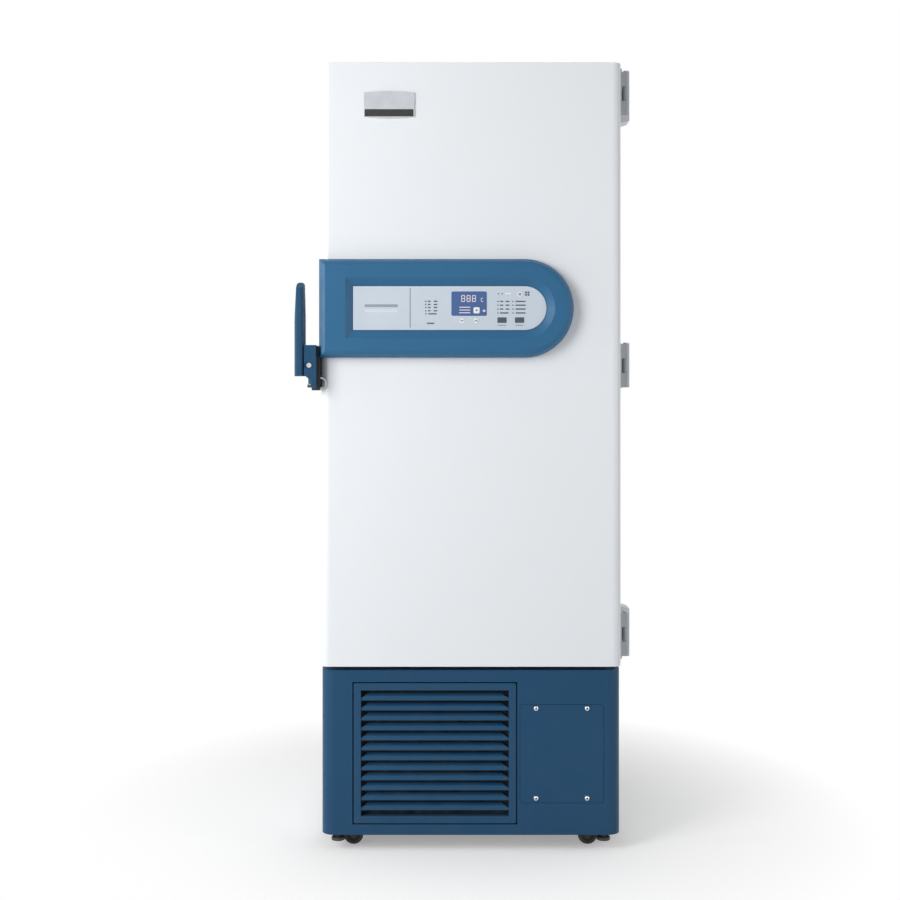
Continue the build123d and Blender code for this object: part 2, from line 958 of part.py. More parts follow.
lock_body_back = lock_body_front + lock_body_depth
blade_back = blade_front + blade_depth
blade_right = blade_left + blade_width
tail_left = lock_body_right - tail_width
with BuildPart() as handle_lever:
    with BuildSketch(level(lever_bottom)):
        with BuildLine():
            FilletPolyline(
                (blade_left, blade_back),
                (blade_left, blade_front),
                (blade_right - blade_side_slope, blade_front),
                (blade_right, blade_back),
                radius=blade_edge_round,
                close=True,
            )
        make_face()
    extrude(amount=blade_top - lever_bottom)
    with BuildSketch(facing(blade_back)) as blade_face:
        with BuildLine():
            Polyline(
                (blade_left, lever_bottom),
                (blade_left, blade_taper_start),
                (blade_left + blade_left_taper, blade_top),
                (blade_right - blade_right_taper, blade_top),
                (blade_right, lock_body_top),
                (blade_right, lever_bottom),
                close=True,
            )
        make_face()
        fillet(blade_face.vertices().group_by(Axis.Y)[-1], blade_top_round)
    extrude(amount=blade_depth, mode=Mode.INTERSECT)
    with BuildSketch(Plane.YZ.offset(blade_left)):
        with BuildLine():
            Polyline(
                (blade_front, blade_top - blade_top_drop),
                (blade_front + blade_top_slope, blade_top),
                (blade_front, blade_top),
                close=True,
            )
        make_face()
    extrude(amount=blade_width, mode=Mode.SUBTRACT)
    with BuildSketch(facing(lock_body_back)):
        with BuildLine():
            Polyline(
                (blade_right - lock_body_overlap, lock_body_top),
                (lock_body_right, lock_body_top),
                (lock_body_right, tail_bottom + tail_corner),
                (lock_body_right - tail_corner, tail_bottom),
                (tail_left + tail_corner, tail_bottom),
                (tail_left, tail_bottom + tail_corner),
                (tail_left, tail_bottom + tail_straight),
                (blade_right, lever_bottom),
                (blade_right - lock_body_overlap, lever_bottom),
                close=True,
            )
        make_face()
    extrude(amount=lock_body_depth)
    with BuildSketch(level(lever_bottom)):
        area(
            pivot_x - lever_arm_width / 2,
            pivot_x + lever_arm_width / 2,
            lock_body_back - lock_body_overlap,
            pivot_y,
        )
    extrude(amount=hub_top - lever_bottom)
    with BuildSketch(level(hub_bottom)):
        with Locations((pivot_x, pivot_y)):
            Circle(hub_radius)
    extrude(amount=hub_height)
    with BuildSketch(level(hook_middle - hook_height / 2)):
        with BuildLine():
            Polyline(
                about_pivot(hub_radius / 2, hook_angle + hook_root_angle),
                about_pivot(hook_inner_radius, hook_angle + hook_half_angle),
                about_pivot(hook_inner_radius, hook_tip_angle),
                about_pivot(hook_outer_radius, hook_tip_angle),
                about_pivot(hook_outer_radius, hook_angle - hook_half_angle),
                about_pivot(hub_radius / 2, hook_angle - hook_root_angle),
                close=True,
            )
        make_face()
    extrude(amount=hook_height)
    with BuildSketch(level(hub_bottom)):
        with Locations((pivot_x, pivot_y)):
            Circle(pivot_radius + running_gap)
    extrude(amount=hub_height, mode=Mode.SUBTRACT)
    with BuildSketch(facing(lock_body_front + lock_recess_depth)):
        with Locations((lock_x, lock_z)):
            Ellipse(lock_recess_width / 2, lock_recess_height / 2)
    extrude(amount=lock_recess_depth, mode=Mode.SUBTRACT)
    with BuildSketch(facing(lock_body_front + lock_length + seat_gap)):
        with Locations((lock_x, lock_z)):
            Circle(lock_radius + running_gap)
    extrude(amount=lock_length + seat_gap, mode=Mode.SUBTRACT)
save(handle_lever, "handle_lever")

with BuildPart() as key_lock:
    with BuildSketch(facing(lock_body_front + lock_length)):
        with Locations((lock_x, lock_z)):
            Circle(lock_radius)
    extrude(amount=lock_length - lock_recess_depth / 3)
    with BuildSketch(facing(lock_body_front + lock_recess_depth)):
        with Locations((lock_x, lock_z)):
            Rectangle(keyway_width, keyway_height)
    extrude(amount=lock_recess_depth, mode=Mode.SUBTRACT)
save(key_lock, "key_lock")

# Keeper: bracket on the side of the cabinet with a roller that the hook passes behind
roller_x, roller_y = about_pivot(roller_reach, roller_angle)
keeper_height = hook_height + 2 * (keeper_arm_gap + keeper_arm)
keeper_bottom = hook_middle - keeper_height / 2
keeper_side = -half_body
with BuildPart() as latch_keeper:
    keeper_plate_front = cabinet_front + keeper_plate_setback
    slab(
        (keeper_side - keeper_plate, keeper_side),
        (keeper_plate_front, keeper_plate_front + keeper_plate_depth),
        (keeper_bottom - keeper_plate_margin, keeper_bottom + keeper_height + keeper_plate_margin),
    )
    for arm_bottom in (keeper_bottom, keeper_bottom + keeper_height - keeper_arm):
        with BuildSketch(level(arm_bottom)):
            with BuildLine():
                arm_root = keeper_side - keeper_arm_inset
                arm_front = cabinet_front + keeper_arm_setback
                Polyline(
                    (arm_root, arm_front),
                    (roller_x + keeper_nose_right, roller_y - keeper_nose),
                    (roller_x - keeper_nose, roller_y - keeper_nose),
                    (roller_x - keeper_nose, roller_y + keeper_nose_back),
                    (arm_root, arm_front + keeper_arm_depth),
                    close=True,
                )
            make_face()
        extrude(amount=keeper_arm)
    with BuildSketch(level(keeper_bottom)):
        with Locations((roller_x, roller_y)):
            Circle(keeper_pin_radius)
    extrude(amount=keeper_height)
save(latch_keeper, "latch_keeper")

with BuildPart() as keeper_roller:
    with BuildSketch(level(keeper_bottom + keeper_arm + seat_gap)):
        with Locations((roller_x, roller_y)):
            Circle(roller_radius)
            Circle(keeper_pin_radius + running_gap, mode=Mode.SUBTRACT)
    extrude(amount=keeper_height - 2 * (keeper_arm + seat_gap))
save(keeper_roller, "keeper_roller")

# Padlock eye: half ring in front of the door's edge, welded by its two ends to the bracket
with BuildPart() as padlock_eye:
    with BuildSketch(facing(front_face)):
        with Locations((door_side, eye_z)):
            Circle(eye_radius)
            Circle(eye_hole_radius, mode=Mode.SUBTRACT)
        area(
            door_side - eye_radius,
            door_side,
            eye_z - eye_radius,
            eye_z + eye_radius,
            Mode.SUBTRACT,
        )
    extrude(amount=eye_thickness)
    rims = padlock_eye.faces().sort_by(Axis.Y)[0].edges().filter_by(GeomType.CIRCLE)
    fillet(rims, eye_edge_round)
save(padlock_eye, "padlock_eye")

# Door hinges: cabinet leaf with the middle knuckle, door leaf with the outer two
knuckle_third = hinge_height / 3


def knuckle_plan(fixed_x, low_y, high_y):
    """Plan of a knuckle with its arm running back to a leaf, with the pin hole."""
    with BuildSketch() as plan:
        with Locations((hinge_x, hinge_y)):
            Circle(knuckle_radius)
        with BuildLine():
            Polyline(
                (fixed_x, low_y),
                (hinge_x, hinge_y - knuckle_radius + knuckle_flat),
                (hinge_x + knuckle_radius - knuckle_flat, hinge_y),
                (fixed_x + leaf_plate, high_y),
                (fixed_x, high_y),
                close=True,
            )
        make_face()
        with Locations((hinge_x, hinge_y)):
            Circle(hinge_pin_radius + running_gap, mode=Mode.SUBTRACT)
    return plan.sketch


leaf_front = cabinet_front + leaf_front_gap
with BuildPart() as hinge_cabinet_leaves:
    for hinge_z in hinge_heights:
        hinge_bottom = hinge_z - hinge_height / 2
        slab(
            (half_body, half_body + leaf_plate),
            (leaf_front, cabinet_front + leaf_back),
            (hinge_bottom, hinge_bottom + hinge_height),
        )
        with BuildSketch(level(hinge_bottom + knuckle_third + seat_gap)):
            add(knuckle_plan(half_body, leaf_front, leaf_front + knuckle_web))
        extrude(amount=knuckle_third - 2 * seat_gap)
save(hinge_cabinet_leaves, "hinge_cabinet_leaves")

with BuildPart() as hinge_door_leaves:
    for hinge_z in hinge_heights:
        hinge_bottom = hinge_z - hinge_height / 2
        slab(
            (half_door, half_door + leaf_plate),
            (door_back - door_leaf_front_inset, door_back - door_leaf_back_inset),
            (hinge_bottom, hinge_bottom + hinge_height),
        )
        for knuckle_bottom in (hinge_bottom, hinge_bottom + 2 * knuckle_third):
            with BuildSketch(level(knuckle_bottom)):
                add(knuckle_plan(half_door, hinge_y - knuckle_radius, hinge_y + knuckle_radius))
            extrude(amount=knuckle_third)
save(hinge_door_leaves, "hinge_door_leaves")

with BuildPart() as hinge_pins:
    for hinge_z in hinge_heights:
        hinge_bottom = hinge_z - hinge_height / 2
        with BuildSketch(level(hinge_bottom - seat_gap)):
            with Locations((hinge_x, hinge_y)):
                Circle(hinge_pin_radius)
        extrude(amount=hinge_height + 2 * seat_gap)
        with BuildSketch(level(hinge_bottom + hinge_height + seat_gap)):
            with Locations((hinge_x, hinge_y)):
                Circle(knuckle_radius)
        extrude(amount=hinge_pin_cap)
save(hinge_pins, "hinge_pins")

# Covers over the cabinet leaves, slanted at both ends
with BuildPart() as hinge_covers:
    for hinge_z in hinge_heights:
        with BuildSketch(facing(cabinet_front + leaf_back)):
            with BuildLine():
                cover_half = hinge_height / 2 + cover_overhang
                Polyline(
                    (half_body + leaf_plate, hinge_z - cover_half),
                    (cover_right, hinge_z - cover_half + cover_slant),
                    (cover_right, hinge_z + cover_half - cover_slant),
                    (half_body + leaf_plate, hinge_z + cover_half),
                    close=True,
                )
            make_face()
        extrude(amount=cover_depth)
save(hinge_covers, "hinge_covers")

# Lower front panel: wrapped shell with sunk seats for the grille and the service cover
service_right = service_left + service_width
ledge_front = panel_front + grille_depth + seat_gap
with BuildPart() as front_panel:
    with BuildSketch(level(panel_bottom)):
        add(front_rounded(body_width, panel_front, cabinet_front, panel_corner))
    extrude(amount=panel_top - panel_bottom)
    with BuildSketch(level(panel_bottom)):
        add(
            front_rounded(
                body_width - 2 * panel_wall,
                panel_front + panel_wall,
                cabinet_front,
                panel_corner - panel_wall,
            )
        )
    extrude(amount=panel_top - panel_bottom - panel_wall, mode=Mode.SUBTRACT)
    with BuildSketch(facing(ledge_front + well_wall)):
        area(
            grille_left - grille_gap - well_wall,
            grille_right + grille_gap + well_wall,
            grille_bottom - grille_gap - well_wall,
            grille_top + grille_gap + well_wall,
        )
    extrude(amount=ledge_front + well_wall - panel_front)
    with BuildSketch(facing(ledge_front)):
        area(
            grille_left - grille_gap,
            grille_right + grille_gap,
            grille_bottom - grille_gap,
            grille_top + grille_gap,
        )
    extrude(amount=ledge_front - panel_front, mode=Mode.SUBTRACT)
    with BuildSketch(facing(ledge_front + well_wall)):
        area(
            grille_left + grille_ledge,
            grille_right - grille_ledge,
            grille_bottom + grille_ledge,
            grille_top - grille_ledge,
        )
    extrude(amount=well_wall, mode=Mode.SUBTRACT)
    with BuildSketch(facing(panel_front + service_plate)) as service_seat:
        area(
            service_left - service_gap,
            service_right + service_gap,
            service_bottom - service_gap,
            service_top + service_gap,
        )
        fillet(service_seat.vertices(), service_corner + service_gap)
    extrude(amount=service_plate, mode=Mode.SUBTRACT)
    with BuildSketch(facing(panel_front + panel_wall)):
        area(
            service_left + service_land,
            service_right - service_land,
            service_bottom + service_land,
            service_top - service_land,
        )
    extrude(amount=panel_wall, mode=Mode.SUBTRACT)
save(front_panel, "front_panel")

with BuildPart() as service_cover:
    with BuildSketch(facing(panel_front + service_plate)) as cover_outline:
        area(service_left, service_right, service_bottom, service_top)
        fillet(cover_outline.vertices(), service_corner)
    extrude(amount=service_plate)
save(service_cover, "service_cover")

# Louvre grille: frame with sloping blades whose ends are cut down at an angle
louvre_left = grille_left + grille_frame
louvre_right = grille_right - grille_frame
louvre_middle = (grille_bottom + grille_top) / 2
louvre_count = int((grille_top - grille_bottom - 2 * grille_frame) // louvre_pitch)
louvre_start = panel_front + louvre_setback
with BuildPart() as louvre_grille:
    with BuildSketch(facing(panel_front + grille_depth)) as grille_outline:
        area(grille_left, grille_right, grille_bottom, grille_top)
        fillet(grille_outline.vertices(), grille_corner)
        area(
            louvre_left,
            louvre_right,
            grille_bottom + grille_frame,
            grille_top - grille_frame,
            Mode.SUBTRACT,
        )
    extrude(amount=grille_depth)
    for number in range(louvre_count):
        blade_z = louvre_middle + (number - (louvre_count - 1) / 2) * louvre_pitch - louvre_face / 2
        with BuildSketch(Plane.YZ.offset(louvre_left)):
            with BuildLine():
                Polyline(
                    (louvre_start, blade_z),
                    (louvre_start + louvre_lean, blade_z + louvre_face),
                    (louvre_start + louvre_lean + louvre_run, blade_z + louvre_face + louvre_rise),
                    (
                        louvre_start + louvre_lean + louvre_run,
                        blade_z + louvre_face + louvre_rise - louvre_wall,
                    ),
                    (
                        louvre_start + louvre_lean + louvre_wall,
                        blade_z + louvre_face - louvre_wall,
                    ),
                    (louvre_start + louvre_wall, blade_z),
                    close=True,
                )
            make_face()
        extrude(amount=louvre_right - louvre_left)
        louvre_back = louvre_start + louvre_lean + louvre_run
        louvre_top = blade_z + louvre_face + louvre_rise
        for end_x, inward in ((louvre_left, 1), (louvre_right, -1)):
            with BuildSketch(facing(louvre_back)):
                with BuildLine():
                    Polyline(
                        (end_x, louvre_top - louvre_end_drop),
                        (end_x + inward * louvre_end_run, louvre_top),
                        (end_x, louvre_top),
                        close=True,
                    )
                make_face()
            extrude(amount=louvre_back - louvre_start, mode=Mode.SUBTRACT)
save(louvre_grille, "louvre_grille")

with BuildPart() as air_filter:
    with BuildSketch(facing(ledge_front + well_wall + filter_thickness)):
        area(grille_left, grille_right, grille_bottom, grille_top)
    extrude(amount=filter_thickness)
save(air_filter, "air_filter")

# Chassis: folded tray under the machine compartment, with the top plates and races of the
# casters welded under it, and nuts for the two levelling feet
plate_bottom = tray_bottom - caster_plate_thickness
tray_side = half_body - sheet
caster_places = {
    "front_left": (-caster_x, caster_front_y, -1),
    "front_right": (caster_x, caster_front_y, 1),
    "rear_left": (-caster_x, caster_rear_y, -1),
    "rear_right": (caster_x, caster_rear_y, 1),
}
with BuildPart() as base_frame:
    slab((-tray_side, tray_side), (cabinet_front, cabinet_back - sheet), (tray_bottom, tray_top))
    front_side = half_body - panel_wall
    slab(
        (tray_corner_inset - front_side, front_side - tray_corner_inset),
        (tray_front, cabinet_front),
        (tray_bottom, tray_top),
    )
    for side in (-1, 1):
        edge = side * (tray_side - sheet / 2 - tray_thickness / 2)
        slab(
            (edge - tray_thickness / 2, edge + tray_thickness / 2),
            (cabinet_front, cabinet_back - sheet),
            (tray_bottom, tray_top + tray_lip),
        )
        with BuildSketch(level(tray_bottom - foot_nut_drop)):
            with Locations((side * foot_x, foot_y)):
                RegularPolygon(foot_nut_radius, 6)
        extrude(amount=foot_nut_drop)
        with BuildSketch(level(tray_bottom - foot_nut_drop)):
            with Locations((side * foot_x, foot_y)):
                Circle(foot_stem_radius + running_gap)
        extrude(amount=foot_nut_drop + tray_thickness, mode=Mode.SUBTRACT)
    for pivot_place_x, pivot_place_y, side in caster_places.values():
        with BuildSketch(level(plate_bottom)):
            with Locations((pivot_place_x, pivot_place_y)):
                RectangleRounded(caster_plate_side, caster_plate_side, caster_plate_corner)
        extrude(amount=caster_plate_thickness)
        with BuildSketch(level(fork_top + race_gap)):
            with Locations((pivot_place_x, pivot_place_y)):
                Circle(race_radius)
        extrude(amount=plate_bottom - fork_top - race_gap)
        with BuildSketch(level(fork_top + race_gap)):
            with Locations((pivot_place_x, pivot_place_y)):
                Circle(stem_radius + running_gap)
        extrude(amount=tray_top - fork_top - race_gap, mode=Mode.SUBTRACT)
save(base_frame, "base_frame")

# Casters: swivelling fork with the axle riveted in, and the wheel
fork_inner = wheel_width / 2 + fork_side_gap
crown_bottom = 2 * wheel_radius + crown_gap
for place_name, (pivot_place_x, pivot_place_y, side) in caster_places.items():
    axle_x = pivot_place_x + side * caster_trail
    with BuildPart() as caster_fork:
        with BuildSketch(level(crown_bottom)):
            with Locations((pivot_place_x, pivot_place_y)):
                Circle(race_radius)
            reach = axle_x + side * axle_radius
            area(
                min(pivot_place_x, reach),
                max(pivot_place_x, reach),
                pivot_place_y - fork_inner - fork_wall,
                pivot_place_y + fork_inner + fork_wall,
            )
        extrude(amount=fork_top - crown_bottom)
        for leg_back in (pivot_place_y - fork_inner, pivot_place_y + fork_inner + fork_wall):
            with BuildSketch(facing(leg_back)):
                with BuildLine():
                    Polyline(
                        (pivot_place_x - side * fork_root_width, crown_bottom),
                        (axle_x - side * axle_boss, wheel_radius),
                        (axle_x - side * axle_boss / 2, wheel_radius - axle_boss),
                        (axle_x + side * axle_boss / 2, wheel_radius - axle_boss),
                        (axle_x + side * axle_boss, wheel_radius),
                        (axle_x + side * axle_radius, crown_bottom),
                        close=True,
                    )
                make_face()
            extrude(amount=fork_wall)
        with BuildSketch(facing(pivot_place_y + fork_inner + fork_wall)):
            with Locations((axle_x, wheel_radius)):
                Circle(axle_radius)
        extrude(amount=2 * (fork_inner + fork_wall))
        with BuildSketch(level(fork_top)):
            with Locations((pivot_place_x, pivot_place_y)):
                Circle(stem_radius)
        extrude(amount=tray_bottom - fork_top)
    save(caster_fork, f"caster_fork_{place_name}")

    with BuildPart() as caster_wheel:
        with BuildSketch(Plane((axle_x, pivot_place_y, wheel_radius), x_dir=(1, 0, 0), z_dir=(0, 0, 1))):
            with BuildLine():
                half_wheel = wheel_width / 2
                half_web = wheel_web / 2
                tread_side = half_wheel - wheel_rim_step
                tread_flat = tread_side - tread_edge_width
                Polyline(
                    (axle_radius + running_gap, -half_wheel),
                    (wheel_hub_radius, -half_wheel),
                    (wheel_hub_radius, -half_web),
                    (wheel_rim_radius, -half_web),
                    (wheel_rim_radius, -tread_side),
                    (wheel_radius - tread_edge_drop, -tread_side),
                    (wheel_radius, -tread_flat),
                    (wheel_radius, tread_flat),
                    (wheel_radius - tread_edge_drop, tread_side),
                    (wheel_rim_radius, tread_side),
                    (wheel_rim_radius, half_web),
                    (wheel_hub_radius, half_web),
                    (wheel_hub_radius, half_wheel),
                    (axle_radius + running_gap, half_wheel),
                    close=True,
                )
            make_face()
        revolve(axis=Axis((axle_x, pivot_place_y, wheel_radius), (0, 1, 0)))
    save(caster_wheel, f"caster_wheel_{place_name}")

for foot_name, side in (("levelling_foot_left", -1), ("levelling_foot_right", 1)):
    with BuildPart() as levelling_foot:
        with BuildSketch(level(foot_bottom)):
            with Locations((side * foot_x, foot_y)):
                Circle(foot_pad_radius)
        extrude(amount=foot_pad_height)
        fillet(levelling_foot.faces().sort_by(Axis.Z)[-1].edges(), foot_pad_round)
        with BuildSketch(level(foot_bottom + foot_pad_height)):
            with Locations((side * foot_x, foot_y)):
                Circle(foot_stem_radius)
        extrude(amount=foot_stem_length)
    save(levelling_foot, foot_name)

# Compressors: welded shells on grommets, one for each stage of the cascade
for compressor_name, compressor_x in (
    ("compressor_first_stage", compressor_first_x),
    ("compressor_second_stage", compressor_second_x),
):
    with BuildPart() as compressor:
        with BuildSketch(Plane.XZ.offset(-compressor_y)):
            with BuildLine():
                shell_bottom = tray_top + compressor_shell_rise
                shell_top = tray_top + compressor_height
                seam = (shell_bottom + shell_top) / 2
                rim = compressor_x + compressor_radius
                wall = rim - seam_proud
                Polyline(
                    (compressor_x, shell_bottom),
                    (rim - shell_base_slope, shell_bottom),
                    (wall, shell_bottom + shell_base_slope),
                    (wall, seam - seam_half_height),
                    (rim, seam - seam_half_height),
                    (rim, seam + seam_half_height),
                    (wall, seam + seam_half_height),
                    (wall, shell_top - dome_height),
                )
                dome_side = compressor_radius - seam_proud
                dome_radius = (dome_side**2 + dome_height**2) / (2 * dome_height)
                half_turn = asin(dome_side / dome_radius) / 2
                ThreePointArc(
                    (wall, shell_top - dome_height),
                    (
                        compressor_x + dome_radius * sin(half_turn),
                        shell_top - dome_radius * (1 - cos(half_turn)),
                    ),
                    (compressor_x, shell_top),
                )
                Line((compressor_x, shell_top), (compressor_x, shell_bottom))
            make_face()
        revolve(axis=Axis((compressor_x, compressor_y, 0), (0, 0, 1)))
        with BuildSketch(level(tray_top + grommet_height)):
            with Locations((compressor_x, compressor_y)):
                RectangleRounded(
                    2 * compressor_radius, 2 * compressor_radius, compressor_foot_corner
                )
        extrude(amount=compressor_foot)
        with BuildSketch(level(tray_top)):
            with Locations((compressor_x, compressor_y)):
                grommet_pitch = 2 * grommet_spread * compressor_radius
                with GridLocations(grommet_pitch, grommet_pitch, 2, 2):
                    Circle(grommet_radius)
        extrude(amount=grommet_height)
    save(compressor, compressor_name)

# Condenser: fin block with return bends, fan shroud behind it, fan on the motor shaft
condenser_back = condenser_front + condenser_depth
fan_x = (condenser_left + condenser_right) / 2
with BuildPart() as condenser_coil:
    for end_x in (condenser_left, condenser_right - condenser_end_plate):
        slab(
            (end_x, end_x + condenser_end_plate),
            (condenser_front, condenser_back),
            (tray_top, condenser_top),
        )
    fin_count = int((condenser_right - condenser_left - 2 * fin_margin) // fin_pitch)
    for number in range(fin_count):
        fin_x = fan_x + (number - (fin_count - 1) / 2) * fin_pitch
        slab(
            (fin_x - fin_wall / 2, fin_x + fin_wall / 2),
            (condenser_front, condenser_back),
            (tray_top + fin_end_gap, condenser_top - fin_end_gap),
        )
    tube_first = tray_top + tube_first_rise
    tube_count = 1 + int((condenser_top - tube_radius - fin_end_gap - tube_first) // tube_pitch)
    tube_rows = [tube_first + row * tube_pitch for row in range(tube_count)]
    for tube_z in tube_rows:
        with BuildSketch(Plane.YZ.offset(condenser_left - tube_overhang)):
            with Locations(((condenser_front + condenser_back) / 2, tube_z)):
                Circle(tube_radius)
        extrude(amount=condenser_right - condenser_left + 2 * tube_overhang)
    for end_x in (condenser_left - tube_overhang, condenser_right + tube_overhang):
        for low_z, high_z in zip(tube_rows, tube_rows[1:]):
            with BuildSketch(level(low_z)):
                with Locations((end_x, (condenser_front + condenser_back) / 2)):
                    Circle(tube_radius)
            extrude(amount=high_z - low_z)
save(condenser_coil, "condenser_coil")

shroud_back = condenser_back + shroud_depth
fan_plane = shroud_back + fan_setback
with BuildPart() as fan_shroud:
    slab(
        (condenser_left, condenser_right),
        (condenser_back, shroud_back),
        (tray_top, condenser_top),
    )
    slab(
        (condenser_left + shroud_wall, condenser_right - shroud_wall),
        (condenser_back, shroud_back - shroud_wall),
        (tray_top + shroud_wall, condenser_top - shroud_wall),
        Mode.SUBTRACT,
    )
    with BuildSketch(facing(shroud_back + 2 * fan_setback)):
        with Locations((fan_x, fan_center_z)):
            Circle(fan_radius + fan_gap + shroud_wall)
    extrude(amount=2 * fan_setback)
    with BuildSketch(facing(shroud_back + 2 * fan_setback)):
        with Locations((fan_x, fan_center_z)):
            Circle(fan_radius + fan_gap)
    extrude(amount=2 * fan_setback + shroud_wall, mode=Mode.SUBTRACT)
save(fan_shroud, "fan_shroud")

with BuildPart() as fan_blade:
    with BuildSketch(facing(fan_plane + fan_hub_length / 2)):
        with Locations((fan_x, fan_center_z)):
            Circle(fan_hub_radius)
    extrude(amount=fan_hub_length)
    for number in range(fan_blade_count):
        turn = number * 360 / fan_blade_count
        hub_center = Vector(fan_x, fan_plane, fan_center_z)
        outward = Vector(cos(radians(turn)), 0, sin(radians(turn)))
        root = Plane(hub_center + outward * (fan_hub_radius - fan_root_bite), x_dir=(0, 1, 0), z_dir=outward)
        tip = Plane(hub_center + outward * fan_radius, x_dir=(0, 1, 0), z_dir=outward)
        with BuildSketch(root):
            Rectangle(fan_blade_wall, fan_root_chord, rotation=fan_root_angle)
        with BuildSketch(tip):
            Rectangle(fan_blade_wall, fan_tip_chord, rotation=fan_tip_angle)
        loft()
    with BuildSketch(facing(fan_plane + fan_hub_length / 2)):
        with Locations((fan_x, fan_center_z)):
            Circle(motor_shaft_radius + running_gap)
    extrude(amount=fan_hub_length, mode=Mode.SUBTRACT)
save(fan_blade, "fan_blade")

motor_front = fan_plane + fan_hub_length / 2 + motor_gap
motor_back = motor_front + motor_length
bracket_back = motor_back - motor_bracket_inset
with BuildPart() as fan_motor:
    with BuildSketch(facing(motor_back)):
        with Locations((fan_x, fan_center_z)):
            Circle(motor_radius)
    extrude(amount=motor_length)
    fillet(fan_motor.faces().filter_by(Axis.Y).edges(), motor_edge_round)
    with BuildSketch(facing(motor_front)):
        with Locations((fan_x, fan_center_z)):
            Circle(motor_shaft_radius)
    extrude(amount=motor_front - fan_plane + fan_hub_length / 2)
    with BuildSketch(facing(bracket_back)):
        with BuildLine():
            Polyline(
                (fan_x - motor_foot_half, tray_top),
                (fan_x + motor_foot_half, tray_top),
                (fan_x + motor_neck_half, fan_center_z),
                (fan_x - motor_neck_half, fan_center_z),
                close=True,
            )
        make_face()
    extrude(amount=motor_bracket_wall)
    slab(
        (fan_x - motor_foot_half, fan_x + motor_foot_half),
        (motor_front + motor_foot_setback, bracket_back),
        (tray_top, tray_top + motor_bracket_wall),
    )
save(fan_motor, "fan_motor")

# Refrigerant lines: pipes with large bends and a filter drier in each stage
with BuildPart() as refrigerant_lines:
    for compressor_x, drier_x in (
        (compressor_first_x, compressor_first_x - compressor_radius - drier_gap),
        (compressor_second_x, compressor_second_x + compressor_radius + drier_gap),
    ):
        pipe_start = (compressor_x, compressor_y, tray_top + compressor_height + seat_gap)
        rise = cabinet_base - pipe_headroom
        with BuildLine():
            pipe_path = FilletPolyline(
                pipe_start,
                (compressor_x, compressor_y, rise),
                (drier_x, compressor_y, rise),
                (drier_x, compressor_y, rise - drier_drop),
                radius=pipe_bend,
            )
        with BuildSketch(Plane(pipe_start, z_dir=(0, 0, 1))):
            Circle(pipe_radius)
        sweep(path=pipe_path)
        with BuildSketch(level(rise - drier_drop - drier_length)):
            with Locations((drier_x, compressor_y)):
                Circle(drier_radius)
        extrude(amount=drier_length)
save(refrigerant_lines, "refrigerant_lines")

# Electrical box behind the service cover: a closed housing on the tray
with BuildPart() as electrical_box:
    slab(
        (box_left, box_left + box_width),
        (box_front, box_front + box_depth),
        (tray_top, box_top),
    )
    fillet(electrical_box.edges().filter_by(Axis.Y), box_corner)
save(electrical_box, "electrical_box")

# Rear cover of the machine compartment, with rows of vents and a cable gland
with BuildPart() as rear_vent_cover:
    with BuildSketch(facing(cabinet_back)):
        area(-half_body, half_body, skirt_bottom, cabinet_base - seat_gap)
        for column in (-1, 1):
            for row in range(vent_rows):
                vent_z = cabinet_base - vent_top_drop - row * vent_row_pitch
                with Locations((column * half_body / 2, vent_z)):
                    SlotOverall(vent_slot_width, vent_slot_height, mode=Mode.SUBTRACT)
        with Locations((gland_x, gland_z)):
            Circle(gland_bore, mode=Mode.SUBTRACT)
    extrude(amount=sheet)
save(rear_vent_cover, "rear_vent_cover")

with BuildPart() as cable_gland:
    with BuildSketch(facing(cabinet_back + gland_length)):
        with Locations((gland_x, gland_z)):
            RegularPolygon(gland_radius, 6)
            Circle(gland_bore, mode=Mode.SUBTRACT)
    extrude(amount=gland_length)
save(cable_gland, "cable_gland")
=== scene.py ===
import json
from math import pi, radians

import bmesh
import bpy
from mathutils import Matrix, Vector


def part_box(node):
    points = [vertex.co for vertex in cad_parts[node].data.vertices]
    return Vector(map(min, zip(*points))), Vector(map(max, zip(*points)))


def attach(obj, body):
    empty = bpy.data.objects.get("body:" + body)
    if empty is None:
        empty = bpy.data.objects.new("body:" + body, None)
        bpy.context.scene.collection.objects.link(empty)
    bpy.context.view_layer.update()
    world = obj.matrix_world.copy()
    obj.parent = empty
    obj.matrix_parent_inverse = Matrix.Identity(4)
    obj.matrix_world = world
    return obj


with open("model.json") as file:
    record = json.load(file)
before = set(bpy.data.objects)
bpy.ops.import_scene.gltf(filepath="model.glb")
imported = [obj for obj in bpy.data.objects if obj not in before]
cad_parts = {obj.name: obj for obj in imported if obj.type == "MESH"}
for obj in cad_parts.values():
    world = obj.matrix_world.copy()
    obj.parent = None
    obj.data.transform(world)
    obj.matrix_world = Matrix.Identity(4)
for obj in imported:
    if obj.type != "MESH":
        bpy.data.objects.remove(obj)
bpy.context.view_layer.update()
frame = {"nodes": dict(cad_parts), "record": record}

# Shapes are made in millimetres and turned to metres when a piece is finished.
MM = 0.001
WELD = 1e-4
CREASE = radians(35)
SMEAR_SHARE = 6.0
GLOSS_DRIFT = 0.06
LINE_SHARE = 0.35
LINE_SHADE = 0.72
LINE_GLOSS = (-0.05, 0.07)
RUB_SHARE = 0.6
DUST_COLOUR = (0.42, 0.4, 0.37, 1.0)
DUST_ROUGHNESS = 0.6
COAT_ROUGHNESS = 0.12
WHITE = (1.0, 1.0, 1.0, 1.0)


def limits(node):
    """Lowest and highest corner of a CAD node in millimetres."""
    low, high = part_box(node)
    return [v / MM for v in low], [v / MM for v in high]


# Node groups that several finishes share


